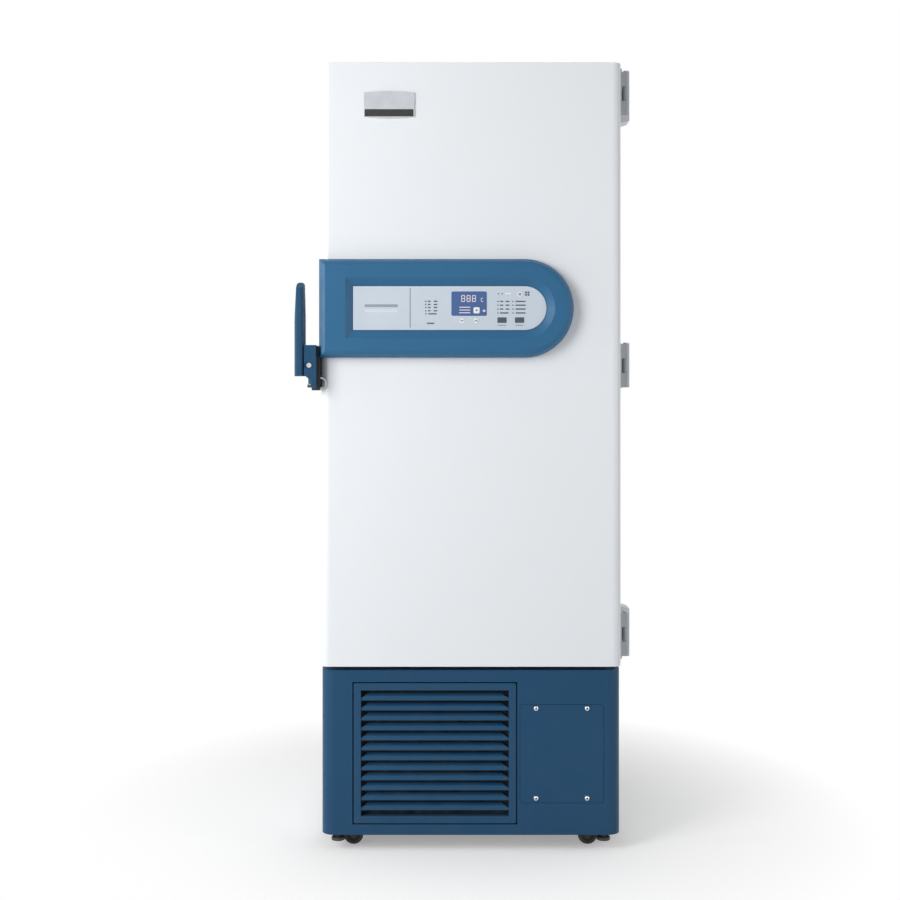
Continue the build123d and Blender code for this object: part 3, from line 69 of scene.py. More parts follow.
def put(tree, kind, links=None, **settings):
    """Add a shader node, with its settings and with a value or a source on each named input."""
    node = tree.nodes.new("ShaderNode" + kind)
    for key, value in settings.items():
        setattr(node, key, value)
    for key, source in (links or {}).items():
        if isinstance(source, bpy.types.NodeSocket):
            tree.links.new(source, node.inputs[key])
        else:
            node.inputs[key].default_value = source
    return node


def combine(tree, operation, first, second, clamp=False):
    """Two values added, multiplied or compared."""
    return put(tree, "Math", {0: first, 1: second}, operation=operation, use_clamp=clamp).outputs[0]


def colour_between(tree, share, first, second):
    """First colour where the share is 0, second where it is 1."""
    return put(tree, "Mix", {0: share, 6: first, 7: second}, data_type="RGBA").outputs[2]


def spread(tree, value, low, high, to_low=0.0, to_high=1.0):
    """Value moved from one range to another and kept inside it."""
    links = {"Value": value, "From Min": low, "From Max": high, "To Min": to_low, "To Max": to_high}
    return put(tree, "MapRange", links).outputs[0]


def shared_effect(name, inputs, outputs):
    """An empty node group with its sockets; gives the group, its inputs and its outputs."""
    group = bpy.data.node_groups.new(name, "ShaderNodeTree")
    for label, kind, value in inputs:
        socket = group.interface.new_socket(label, in_out="INPUT", socket_type="NodeSocket" + kind)
        if value is not None:
            socket.default_value = value
    for label, kind in outputs:
        group.interface.new_socket(label, in_out="OUTPUT", socket_type="NodeSocket" + kind)
    way_in = group.nodes.new("NodeGroupInput")
    way_out = group.nodes.new("NodeGroupOutput")
    return group, way_in.outputs, way_out.inputs


def make_surface_grain():
    """Fine peel of a sprayed or moulded skin, with a slower drift of shade and gloss."""
    group, given, result = shared_effect(
        "surface grain",
        [("Vector", "Vector", None), ("Scale", "Float", 400.0), ("Drift Scale", "Float", 4.0)],
        [("Height", "Float"), ("Drift", "Float"), ("Gloss", "Float")],
    )
    fine = put(group, "TexNoise", {"Vector": given["Vector"], "Scale": given["Scale"], "Detail": 3.0})
    slow = put(group, "TexNoise", {"Vector": given["Vector"], "Scale": given["Drift Scale"], "Detail": 4.0})
    smears = put(
        group,
        "TexNoise",
        {"Vector": given["Vector"], "Scale": combine(group, "MULTIPLY", given["Drift Scale"], SMEAR_SHARE)},
    )
    group.links.new(fine.outputs["Fac"], result["Height"])
    group.links.new(spread(group, slow.outputs["Fac"], 0.3, 0.7), result["Drift"])
    group.links.new(spread(group, smears.outputs["Fac"], 0.35, 0.7), result["Gloss"])
    return group


def make_edge_rub():
    """Normals that round sharp edges a little, and a broken mask along those edges."""
    group, given, result = shared_effect(
        "edge rub",
        [("Vector", "Vector", None), ("Radius", "Float", 0.001), ("Break Up", "Float", 160.0)],
        [("Mask", "Float"), ("Normal", "Vector")],
    )
    rounded = put(group, "Bevel", {"Radius": given["Radius"]}, samples=4)
    flat = put(group, "NewGeometry")
    match = put(
        group,
        "VectorMath",
        {0: rounded.outputs["Normal"], 1: flat.outputs["Normal"]},
        operation="DOT_PRODUCT",
    )
    bend = spread(group, match.outputs["Value"], 0.98, 0.8)
    patches = put(group, "TexNoise", {"Vector": given["Vector"], "Scale": given["Break Up"], "Detail": 5.0})
    broken = spread(group, patches.outputs["Fac"], 0.45, 0.62)
    group.links.new(combine(group, "MULTIPLY", bend, broken), result["Mask"])
    group.links.new(rounded.outputs["Normal"], result["Normal"])
    return group


def make_settled_dust():
    """Mask of dust that lies on level tops and gathers low on the object."""
    group, given, result = shared_effect(
        "settled dust",
        [("Vector", "Vector", None), ("Reach", "Float", 0.5)],
        [("Mask", "Float")],
    )
    place = put(group, "SeparateXYZ", {0: given["Vector"]})
    low_down = spread(group, place.outputs["Z"], given["Reach"], 0.0)
    facing_up = put(group, "SeparateXYZ", {0: put(group, "NewGeometry").outputs["Normal"]})
    on_top = spread(group, facing_up.outputs["Z"], 0.7, 1.0)
    both = combine(group, "ADD", combine(group, "MULTIPLY", low_down, 0.5), on_top, clamp=True)
    patches = put(group, "TexNoise", {"Vector": given["Vector"], "Scale": 22.0, "Detail": 6.0})
    group.links.new(
        combine(group, "MULTIPLY", both, spread(group, patches.outputs["Fac"], 0.35, 0.75)),
        result["Mask"],
    )
    return group


def make_drawn_lines():
    """Long fine lines of brushed or rolled metal along one axis."""
    group, given, result = shared_effect(
        "drawn lines",
        [("Vector", "Vector", None), ("Stretch", "Vector", (8.0, 900.0, 900.0))],
        [("Lines", "Float")],
    )
    stretched = put(group, "VectorMath", {0: given["Vector"], 1: given["Stretch"]}, operation="MULTIPLY")
    lines = put(group, "TexNoise", {"Vector": stretched.outputs[0], "Scale": 1.0, "Detail": 4.0})
    group.links.new(spread(group, lines.outputs["Fac"], 0.3, 0.7), result["Lines"])
    return group


surface_grain = make_surface_grain()
edge_rub = make_edge_rub()
settled_dust = make_settled_dust()
drawn_lines = make_drawn_lines()


def use(tree, group, **values):
    """Place a shared effect and set its named inputs."""
    node = put(tree, "Group", node_tree=group)
    for key, source in values.items():
        socket = node.inputs[key.replace("_", " ").title()]
        if isinstance(source, bpy.types.NodeSocket):
            tree.links.new(source, socket)
        else:
            socket.default_value = source
    return node.outputs


def rgba(colour):
    return (*colour, 1.0)


def finish(
    name,
    colour,
    roughness,
    metallic=0.0,
    specular=0.5,
    shade=0.92,
    grain_scale=400.0,
    grain_depth=0.03,
    drift_scale=4.0,
    edge=0.8,
    rubbed=None,
    dust=0.12,
    lines=None,
    coat=0.0,
):
    """One material: colour drift, grain, softened and rubbed edges, dust and, on metal, drawn lines."""
    material = bpy.data.materials.new(name)
    material.use_nodes = True
    tree = material.node_tree
    shader = tree.nodes["Principled BSDF"]
    where = put(tree, "TexCoord").outputs["Object"]
    grain = use(tree, surface_grain, vector=where, scale=grain_scale, drift_scale=drift_scale)
    darker = tuple(channel * shade for channel in colour)
    paint = colour_between(tree, grain["Drift"], rgba(darker), rgba(colour))
    height = grain["Height"]
    rough = spread(tree, grain["Gloss"], 0.0, 1.0, roughness - GLOSS_DRIFT, roughness + GLOSS_DRIFT)
    if lines:
        drawn = use(tree, drawn_lines, vector=where, stretch=lines)["Lines"]
        line_colour = rgba(tuple(channel * LINE_SHADE for channel in colour))
        paint = colour_between(tree, combine(tree, "MULTIPLY", drawn, LINE_SHARE), paint, line_colour)
        height = drawn
        rough = combine(tree, "ADD", rough, spread(tree, drawn, 0.0, 1.0, *LINE_GLOSS))
    rub = use(tree, edge_rub, vector=where, radius=edge * MM)
    if rubbed:
        worn = combine(tree, "MULTIPLY", rub["Mask"], RUB_SHARE)
        paint = colour_between(tree, worn, paint, rgba(rubbed))
    if dust:
        lying = combine(tree, "MULTIPLY", use(tree, settled_dust, vector=where)["Mask"], dust)
        paint = colour_between(tree, lying, paint, DUST_COLOUR)
        dulled = combine(tree, "MULTIPLY", lying, DUST_ROUGHNESS)
        rough = combine(tree, "ADD", rough, dulled, clamp=True)
    bump = put(
        tree,
        "Bump",
        {"Strength": 1.0, "Distance": grain_depth * MM, "Height": height, "Normal": rub["Normal"]},
    )
    tree.links.new(paint, shader.inputs["Base Color"])
    tree.links.new(rough, shader.inputs["Roughness"])
    tree.links.new(bump.outputs[0], shader.inputs["Normal"])
    shader.inputs["Metallic"].default_value = metallic
    shader.inputs["Specular IOR Level"].default_value = specular
    shader.inputs["Coat Weight"].default_value = coat
    shader.inputs["Coat Roughness"].default_value = COAT_ROUGHNESS
    return material


def make_galvanised():
    """Zinc coated sheet with the leafy spangle of its crystals."""
    material = finish(
        "galvanised sheet",
        (0.46, 0.48, 0.5),
        0.42,
        metallic=0.85,
        grain_scale=700.0,
        grain_depth=0.01,
        rubbed=(0.62, 0.63, 0.65),
        dust=0.3,
    )
    tree = material.node_tree
    shader = tree.nodes["Principled BSDF"]
    where = put(tree, "TexCoord").outputs["Object"]
    crystals = put(tree, "TexVoronoi", {"Vector": where, "Scale": 70.0})
    tone = put(tree, "SeparateColor", {0: crystals.outputs["Color"]}).outputs[0]
    plain = shader.inputs["Base Color"].links[0].from_socket
    spangled = colour_between(tree, combine(tree, "MULTIPLY", tone, 0.35), plain, (0.62, 0.64, 0.67, 1.0))
    tree.links.new(spangled, shader.inputs["Base Color"])
    plain_rough = shader.inputs["Roughness"].links[0].from_socket
    tree.links.new(
        combine(tree, "ADD", plain_rough, spread(tree, tone, 0.0, 1.0, -0.08, 0.1)),
        shader.inputs["Roughness"],
    )
    return material


def make_foam_cells():
    """Poured rigid foam: pale yellow skin with open cells."""
    material = finish("rigid foam", (0.78, 0.66, 0.4), 0.85, grain_depth=0.4, grain_scale=300.0, shade=0.8)
    tree = material.node_tree
    shader = tree.nodes["Principled BSDF"]
    where = put(tree, "TexCoord").outputs["Object"]
    cells = put(tree, "TexVoronoi", {"Vector": where, "Scale": 420.0}, feature="DISTANCE_TO_EDGE")
    walls = spread(tree, cells.outputs["Distance"], 0.0, 0.12)
    plain = shader.inputs["Base Color"].links[0].from_socket
    tree.links.new(colour_between(tree, walls, (0.6, 0.48, 0.26, 1.0), plain), shader.inputs["Base Color"])
    return material


def make_filter_mat():
    """Open mat of dark crossed threads."""
    material = finish("filter mat", (0.02, 0.02, 0.023), 0.95, specular=0.2, grain_scale=900.0, dust=0.5)
    tree = material.node_tree
    shader = tree.nodes["Principled BSDF"]
    where = put(tree, "TexCoord").outputs["Object"]
    threads = [
        put(
            tree,
            "TexWave",
            {"Vector": where, "Scale": 180.0, "Distortion": 1.2, "Detail": 2.0},
            bands_direction=way,
        ).outputs["Fac"]
        for way in ("X", "Z")
    ]
    weave = combine(tree, "MAXIMUM", *threads)
    plain = shader.inputs["Base Color"].links[0].from_socket
    lifted = colour_between(tree, combine(tree, "MULTIPLY", weave, 0.25), plain, (0.07, 0.07, 0.075, 1.0))
    tree.links.new(lifted, shader.inputs["Base Color"])
    bump = shader.inputs["Normal"].links[0].from_node
    bump.inputs["Distance"].default_value = 0.6 * MM
    tree.links.new(weave, bump.inputs["Height"])
    return material


white_paint = finish(
    "white enamel", (0.83, 0.86, 0.89), 0.34, specular=0.4, shade=0.985, grain_scale=260.0,
    grain_depth=0.02, drift_scale=2.0, edge=1.2, rubbed=(0.6, 0.61, 0.63), dust=0.06, coat=0.15,
)
blue_paint = finish(
    "blue enamel", (0.012, 0.068, 0.15), 0.36, specular=0.22, shade=0.9, grain_scale=260.0,
    grain_depth=0.03, drift_scale=2.0, edge=1.2, rubbed=(0.05, 0.15, 0.26), dust=0.03,
)
blue_plastic = finish(
    "blue moulding", (0.03, 0.135, 0.27), 0.42, specular=0.25, shade=0.92, grain_scale=900.0,
    grain_depth=0.03, edge=1.4, rubbed=(0.08, 0.2, 0.34), dust=0.03,
)
deep_blue = finish(
    "deep blue moulding", (0.014, 0.07, 0.15), 0.4, specular=0.22, shade=0.9, grain_scale=900.0,
    grain_depth=0.03, edge=1.0, rubbed=(0.05, 0.14, 0.24), dust=0.03,
)
white_plastic = finish(
    "white moulding", (0.78, 0.8, 0.81), 0.42, shade=0.97, grain_scale=1100.0, grain_depth=0.03, dust=0.05,
)
hinge_white = finish("white hinge cover", (0.8, 0.82, 0.84), 0.4, shade=0.96, grain_scale=900.0, dust=0.05)
hinge_grey = finish(
    "grey hinge enamel", (0.5, 0.53, 0.57), 0.4, shade=0.94, grain_depth=0.02, rubbed=(0.62, 0.62, 0.62),
)
silver_overlay = finish(
    "silver keypad film", (0.58, 0.65, 0.73), 0.38, shade=0.95, grain_scale=2200.0, grain_depth=0.01,
    edge=0.3, coat=0.2, dust=0.0,
)
badge_metal = finish(
    "silver badge", (0.6, 0.62, 0.66), 0.3, metallic=0.9, lines=(9.0, 900.0, 900.0), grain_depth=0.006,
    edge=0.4, dust=0.0,
)
key_plastic = finish("white keys", (0.85, 0.88, 0.92), 0.3, shade=0.98, edge=0.4, coat=0.3, dust=0.0)
chrome_lock = finish(
    "plated metal", (0.66, 0.67, 0.69), 0.16, metallic=1.0, grain_depth=0.004, edge=0.4, dust=0.04,
)
stainless = finish(
    "brushed stainless", (0.6, 0.61, 0.62), 0.3, metallic=1.0, lines=(700.0, 700.0, 6.0),
    grain_depth=0.008, dust=0.04,
)
shelf_steel = finish(
    "brushed shelf steel", (0.62, 0.63, 0.64), 0.3, metallic=1.0, lines=(6.0, 700.0, 700.0),
    grain_depth=0.008, dust=0.05,
)
zinc_steel = make_galvanised()
black_metal = finish(
    "black enamel", (0.018, 0.018, 0.02), 0.45, shade=0.8, grain_scale=500.0, grain_depth=0.04,
    rubbed=(0.16, 0.16, 0.17), dust=0.35,
)
black_plastic = finish(
    "black moulding", (0.018, 0.018, 0.02), 0.5, shade=0.8, grain_scale=1200.0, grain_depth=0.05, dust=0.2,
)
wheel_rubber = finish(
    "wheel tread", (0.02, 0.02, 0.021), 0.6, shade=0.75, grain_scale=800.0, grain_depth=0.08, dust=0.3,
)
grey_rubber = finish(
    "grey gasket", (0.2, 0.2, 0.21), 0.6, shade=0.85, grain_scale=900.0, grain_depth=0.05, dust=0.05,
)
white_rubber = finish(
    "white silicone", (0.74, 0.74, 0.72), 0.5, shade=0.93, grain_scale=600.0, grain_depth=0.05, dust=0.1,
)
display_blue = finish(
    "display window", (0.026, 0.1, 0.3), 0.16, shade=0.9, edge=0.3, coat=0.6, dust=0.0,
)
digit_pale = finish("lit segments", (0.86, 0.74, 0.8), 0.4, shade=0.97, edge=0.2, dust=0.0)
mark_slate = finish("slate marks", (0.06, 0.08, 0.11), 0.45, shade=0.9, edge=0.2, dust=0.0)
mark_grey = finish("grey marks", (0.3, 0.34, 0.4), 0.45, shade=0.92, edge=0.2, dust=0.0)
pale_lines = finish("pale lines", (0.84, 0.88, 0.92), 0.35, shade=0.97, edge=0.2, dust=0.0)
foam = make_foam_cells()
filter_mat = make_filter_mat()
fan_plastic = finish(
    "fan moulding", (0.03, 0.03, 0.034), 0.45, shade=0.8, grain_scale=900.0, grain_depth=0.04, dust=0.4,
)
copper = finish(
    "copper tube", (0.68, 0.33, 0.19), 0.32, metallic=1.0, shade=0.7, lines=(400.0, 400.0, 20.0),
    grain_depth=0.01, drift_scale=18.0, dust=0.12,
)

finishes = {
    "white_paint": white_paint, "blue_paint": blue_paint, "blue_plastic": blue_plastic,
    "white_plastic": white_plastic, "silver_overlay": silver_overlay, "key_plastic": key_plastic,
    "badge_metal": badge_metal, "chrome_lock": chrome_lock, "zinc_steel": zinc_steel,
    "stainless": stainless, "hinge_grey": hinge_grey, "cover_white": hinge_white,
    "black_metal": black_metal, "black_plastic": black_plastic, "wheel_rubber": wheel_rubber,
    "grey_rubber": grey_rubber, "white_rubber": white_rubber, "foam": foam,
    "filter_mat": filter_mat, "fan_plastic": fan_plastic, "copper": copper,
}
for part in frame["record"]["subparts"]:
    for slot in frame["nodes"][part["node"]].material_slots:
        slot.material = finishes[part["material_slot"]]
for shelf in ("shelf_lower", "shelf_middle", "shelf_upper"):
    frame["nodes"][shelf].material_slots[0].material = shelf_steel
for node in ("louvre_grille", "handle_lever"):
    frame["nodes"][node].material_slots[0].material = deep_blue


# Shapes


def at_front(x, y, z):
    """Place at a point in millimetres, with its own Z axis turned to the front."""
    return Matrix.Translation((x, y, z)) @ Matrix.Rotation(pi / 2, 4, "X")


def turned(profile, steps):
    """Round shape spun about Z from (radius, height) points."""
    bm = bmesh.new()
    points = [bm.verts.new((radius, 0, height)) for radius, height in profile]
    edges = [bm.edges.new(pair) for pair in zip(points, points[1:])]
    bmesh.ops.spin(
        bm, geom=points + edges, cent=(0, 0, 0), axis=(0, 0, 1), angle=2 * pi, steps=steps, use_merge=True
    )
    bmesh.ops.remove_doubles(bm, verts=bm.verts, dist=WELD)
    return bm


def repeated(shape, places):
    """One mesh in hand with a copy of the shape at each place; the shape is used up."""
    loose = bpy.data.meshes.new("loose")
    shape.to_mesh(loose)
    shape.free()
    whole = bmesh.new()
    for place in places:
        count = len(whole.verts)
        whole.from_mesh(loose)
        whole.verts.ensure_lookup_table()
        bmesh.ops.transform(whole, matrix=place, verts=whole.verts[count:])
    bpy.data.meshes.remove(loose)
    return whole


def make_piece(name, bm, material, body):
    """Turn the shape to a metre-sized piece that rides on a body."""
    bmesh.ops.remove_doubles(bm, verts=bm.verts, dist=WELD)
    bmesh.ops.recalc_face_normals(bm, faces=bm.faces)
    bmesh.ops.scale(bm, vec=(MM, MM, MM), verts=bm.verts)
    mesh = bpy.data.meshes.new(name)
    bm.to_mesh(mesh)
    bm.free()
    mesh.materials.append(material)
    mesh.shade_smooth()
    mesh.set_sharp_from_angle(angle=CREASE)
    piece = bpy.data.objects.new(name, mesh)
    bpy.context.scene.collection.objects.link(piece)
    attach(piece, body)
    return piece


def outline(bm, x, z, width, height, corner=0.0, steps=6):
    """Flat face with rounded corners in the X-Z plane, looking to the front."""
    old = set(bm.faces)
    made = bmesh.ops.create_grid(bm, x_segments=1, y_segments=1, size=0.5)["verts"]
    bmesh.ops.scale(bm, vec=(width, height, 1), verts=made)
    bmesh.ops.transform(bm, matrix=at_front(x, 0, z), verts=made)
    if corner:
        bmesh.ops.bevel(
            bm, geom=made, offset=corner, affect="VERTICES", segments=steps, profile=0.5, material=-1
        )
    return [face for face in bm.faces if face not in old]


def thicken(bm, faces, back, front):
    """Give flat faces a body between two depths."""
    flat = list({vert for face in faces for vert in face.verts})
    bmesh.ops.translate(bm, vec=(0, back, 0), verts=flat)
    pulled = bmesh.ops.extrude_face_region(bm, geom=faces)["geom"]
    moved = [item for item in pulled if isinstance(item, bmesh.types.BMVert)]
    bmesh.ops.translate(bm, vec=(0, front - back, 0), verts=moved)


def plate(bm, x, z, width, height, back, front, corner=0.0, steps=6):
    """Rounded plate about a centre, between two depths."""
    thicken(bm, outline(bm, x, z, width, height, corner, steps), back, front)


def rim(bm, faces, width, back, front):
    """Only the border of a flat face, as a band of one width."""
    border = bmesh.ops.inset_region(bm, faces=faces, thickness=width, use_even_offset=True)["faces"]
    bmesh.ops.delete(bm, geom=faces, context="FACES_KEEP_BOUNDARY")
    thicken(bm, border, back, front)


# A corner just under half the width keeps a round end free of doubled points.
NEARLY_ROUND = 0.98
STROKE_STEPS = 8


def strokes(bm, points, width, back, front):
    """Line of even width with round ends through points in the X-Z plane."""
    round_end = width / 2 * NEARLY_ROUND
    for (x1, z1), (x2, z2) in zip(points, points[1:]):
        run = Vector((x2 - x1, z2 - z1))
        faces = outline(bm, 0, 0, run.length + width, width, round_end, STROKE_STEPS)
        verts = list({vert for face in faces for vert in face.verts})
        tilt = Matrix.Rotation(run.angle_signed(Vector((1, 0))), 4, "Y")
        place = Matrix.Translation(((x1 + x2) / 2, 0, (z1 + z2) / 2))
        bmesh.ops.transform(bm, matrix=place @ tilt, verts=verts)
        thicken(bm, faces, back, front)


# A screw head in shares of its radius: the crown's outline as (radius, height), and the socket
HEAD_CROWN = ((1.0, 0.0), (1.0, 0.14), (0.93, 0.34), (0.76, 0.5), (0.5, 0.6))
HEAD_STEPS = 24
SOCKET_RADIUS = 0.38
SOCKET_DEPTH = 0.34


def button_head(radius):
    """Low domed screw head with a six-sided socket."""
    top = HEAD_CROWN[-1][1] * radius
    bm = turned([(reach * radius, height * radius) for reach, height in HEAD_CROWN], HEAD_STEPS)
    top_ring = [edge for edge in bm.edges if all(vert.co.z > top - WELD for vert in edge.verts)]
    socket = bmesh.ops.create_circle(bm, segments=6, radius=SOCKET_RADIUS * radius)["verts"]
    bmesh.ops.translate(bm, vec=(0, 0, top), verts=socket)
    hexagon = list({link for vert in socket for link in vert.link_edges})
    bmesh.ops.bridge_loops(bm, edges=top_ring + hexagon)
    sunk = bmesh.ops.extrude_edge_only(bm, edges=hexagon)["geom"]
    floor_verts = [item for item in sunk if isinstance(item, bmesh.types.BMVert)]
    floor_edges = [
        item
        for item in sunk
        if isinstance(item, bmesh.types.BMEdge) and all(v in floor_verts for v in item.verts)
    ]
    bmesh.ops.translate(bm, vec=(0, 0, -SOCKET_DEPTH * radius), verts=floor_verts)
    bmesh.ops.edgeloop_fill(bm, edges=floor_edges)
    return bm


# Screws of the service cover
SCREW_RADIUS = 6.5
SCREW_FROM_SIDE = 39.5
SCREW_FROM_TOP = 9.5
SCREW_SHIFT = 2
cover_low, cover_high = limits("service_cover")
cover_screws = [
    at_front(x, cover_low[1], z)
    for x in (cover_low[0] + SCREW_FROM_SIDE, cover_high[0] - SCREW_FROM_SIDE - SCREW_SHIFT)
    for z in (cover_low[2] + SCREW_FROM_TOP + SCREW_SHIFT, cover_high[2] - SCREW_FROM_TOP)
]
screws = repeated(button_head(SCREW_RADIUS), cover_screws)
make_piece("service_cover_screws", screws, chrome_lock, "cabinet")

# Keypad: plates, bars and lamps that lie on the film of the control overlay. Their places are
# millimetres to the right of the film's left end and above its middle.
film_low, film_high = limits("control_overlay")
film = film_low[1]
film_left = film_low[0]
film_middle = (film_low[2] + film_high[2]) / 2
LAID = film + 0.2
LINE_PROUD = 0.3
MARK_PROUD = 0.4
SOCKET_PROUD = 0.5
LAMP_PROUD = 0.7
DIGIT_PROUD = 0.8
MARK_CORNER = 0.6
MARK_STEPS = 3
LAMP_ROUND = 0.95
keypad_parts = {
    "pale": bmesh.new(),
    "slate": bmesh.new(),
    "grey": bmesh.new(),
    "digits": bmesh.new(),
}


def laid_plate(group, x, z, width, height, proud=MARK_PROUD, corner=MARK_CORNER):
    """Thin plate on the film, centred at a point."""
    shape = keypad_parts[group]
    x, z = film_left + x, film_middle + z
    plate(shape, x, z, width, height, LAID, film - proud, corner, MARK_STEPS)


def laid_lamp(x, z, radius):
    """Small round lamp on the film."""
    laid_plate("slate", x, z, 2 * radius, 2 * radius, LAMP_PROUD, radius * LAMP_ROUND)


def laid_rim(group, x, z, width, height, corner, line, proud):
    """Rounded frame on the film."""
    shape = keypad_parts[group]
    face = outline(shape, film_left + x, film_middle + z, width, height, corner)
    rim(shape, face, line, LAID, film - proud)


# Display window with its bezel and a hole round the square key
WINDOW_X = 287.55
WINDOW_Z = 11
WINDOW_WIDTH = 87.7
WINDOW_HEIGHT = 60.7
WINDOW_CORNER = 4
WINDOW_PROUD = 0.35
BEZEL_REACH = 4
BEZEL_CORNER = 6
BEZEL_LINE = 2.4
BEZEL_PROUD = 0.9
KEY_HOLE_SIDE = 16.4
KEY_HOLE_CORNER = 3.6


def middle(node):
    """Centre of a node as seen from the front."""
    low, high = limits(node)
    return (low[0] + high[0]) / 2, (low[2] + high[2]) / 2


set_x, set_z = middle("key_set")
window = bmesh.new()
outline(
    window, film_left + WINDOW_X, film_middle + WINDOW_Z, WINDOW_WIDTH, WINDOW_HEIGHT, WINDOW_CORNER
)
outline(window, set_x, set_z, KEY_HOLE_SIDE, KEY_HOLE_SIDE, KEY_HOLE_CORNER)
bmesh.ops.delete(window, geom=list(window.faces), context="FACES_ONLY")
filled = bmesh.ops.triangle_fill(window, edges=list(window.edges), use_beauty=True)["geom"]
window_faces = [item for item in filled if isinstance(item, bmesh.types.BMFace)]
thicken(window, window_faces, LAID, film - WINDOW_PROUD)
make_piece("display_window", window, display_blue, "outer_door")
laid_rim(
    "pale",
    WINDOW_X,
    WINDOW_Z,
    WINDOW_WIDTH + BEZEL_REACH,
    WINDOW_HEIGHT + BEZEL_REACH,
    BEZEL_CORNER,
    BEZEL_LINE,
    BEZEL_PROUD,
)

# Three digits of seven bars
DIGIT_HEIGHT = 16.7
DIGIT_WIDTH = 9.6
DIGIT_PITCH = 13.4
DIGIT_BAR = 1.9
BAR_GAP = 0.7
DIGIT_Z = 23.7
FIRST_DIGIT_X = 272.9
bar_rise = DIGIT_HEIGHT - DIGIT_BAR
bar_spread = DIGIT_WIDTH - DIGIT_BAR
for number in range(3):
    digit_x = FIRST_DIGIT_X + number * DIGIT_PITCH
    for share in (-0.5, 0, 0.5):
        laid_plate("digits", digit_x, DIGIT_Z + share * bar_rise, bar_spread, DIGIT_BAR, DIGIT_PROUD)
    for side in (-0.5, 0.5):
        for half in (-0.25, 0.25):
            upright_x = digit_x + side * bar_spread
            upright_z = DIGIT_Z + half * bar_rise
            upright_height = bar_rise / 2 - BAR_GAP
            laid_plate("digits", upright_x, upright_z, DIGIT_BAR, upright_height, DIGIT_PROUD)

# Unit sign beside the digits: a small ring and three bars open to the right
UNIT_BAR = 1.4
laid_rim("digits", 313.7, 27.5, 4, 4, 1.9, 0.9, DIGIT_PROUD)
for bar_z in (24.5, 16.5):
    laid_plate("digits", 320.2, bar_z, 5, UNIT_BAR, DIGIT_PROUD)
laid_plate("digits", 317.6, 20.5, UNIT_BAR, 7.5, DIGIT_PROUD)

# Three bars under the digits and a padlock sign at their right
PADLOCK_X = 324.5
for row_z in (2, -4.9, -11.6):
    laid_plate("digits", 276.8, row_z, 27.5, 2.2, DIGIT_PROUD)
laid_plate("digits", PADLOCK_X, -6.6, 6.2, 4.6, DIGIT_PROUD)
laid_rim("digits", PADLOCK_X, -3, 4.6, 5, 2.2, 1, DIGIT_PROUD)

# Left of the window: blank name strip over a double line, divider, framed rows of lamps and bars
STRIP_X = 69.5
STRIP_WIDTH = 82
LEFT_LAMP_X = 179.9
LEFT_LAMP_RADIUS = 1.7
LEFT_ROWS = (16.9, 9, 1.5, -6.7)
LEFT_LAST_ROW = -14.3
BAR_HEIGHT = 3
laid_plate("grey", STRIP_X, 5.9, STRIP_WIDTH, 7, LINE_PROUD, 1.5)
for line_z in (-4.7, -9.2):
    laid_plate("pale", STRIP_X, line_z, STRIP_WIDTH, 1.3, LINE_PROUD)
laid_plate("grey", 141.3, 0.8, 2.5, 98, LINE_PROUD)
laid_rim("grey", 192.5, 2.2, 54.8, 83.5, 6, 1.8, MARK_PROUD)
laid_plate("slate", 192.2, -37.7, 19, BAR_HEIGHT, SOCKET_PROUD)
for row_z in LEFT_ROWS:
    laid_lamp(LEFT_LAMP_X, row_z, LEFT_LAMP_RADIUS)
    laid_plate("slate", 188.7, row_z, 6.5, BAR_HEIGHT)
    laid_plate("slate", 204.2, row_z, 9, BAR_HEIGHT)
laid_lamp(LEFT_LAMP_X, LEFT_LAST_ROW, LEFT_LAMP_RADIUS)
laid_plate("slate", 196.5, LEFT_LAST_ROW, 21, BAR_HEIGHT)

# Right of the window: lamps with bars, two sockets, and the grid beside the mute key
RIGHT_LAMP_RADIUS = 1.6
TOP_ROW = 35.7
RIGHT_ROWS = (16.6, 7.2, -2.4)
RIGHT_LAST_ROW = -12.1
for lamp_x in (360.4, 369.9):
    laid_lamp(lamp_x, TOP_ROW, RIGHT_LAMP_RADIUS)
laid_plate("pale", 383.6, TOP_ROW, 14.6, 2.6)
for row_z in (*RIGHT_ROWS, RIGHT_LAST_ROW):
    laid_lamp(358.9, row_z, RIGHT_LAMP_RADIUS)
    laid_plate("slate", 395.9, row_z, 4.6, 2)
    laid_plate("slate", 415.2, row_z, 25, BAR_HEIGHT)
for row_z in RIGHT_ROWS:
    laid_plate("slate", 368.2, row_z, 8, BAR_HEIGHT)
    laid_plate("slate", 382.7, row_z, 9, BAR_HEIGHT)
laid_plate("slate", 374.9, RIGHT_LAST_ROW, 21, BAR_HEIGHT)
for socket_x in (369.1, 412.6):
    laid_plate("slate", socket_x, -29.8, 22.7, 13.7, SOCKET_PROUD, 1.2)
    laid_plate("grey", socket_x, -42.6, 20.2, 2.4)
for grid_x in (428.5, 434.9):
    for grid_z in (32.8, 38.8):
        laid_plate("slate", grid_x, grid_z, 4.6, 4.4)

for group, name, material in (
    ("pale", "keypad_pale_marks", pale_lines),
    ("slate", "keypad_slate_marks", mark_slate),
    ("grey", "keypad_grey_marks", mark_grey),
    ("digits", "display_digits", digit_pale),
):
    make_piece(name, keypad_parts[group], material, "outer_door")

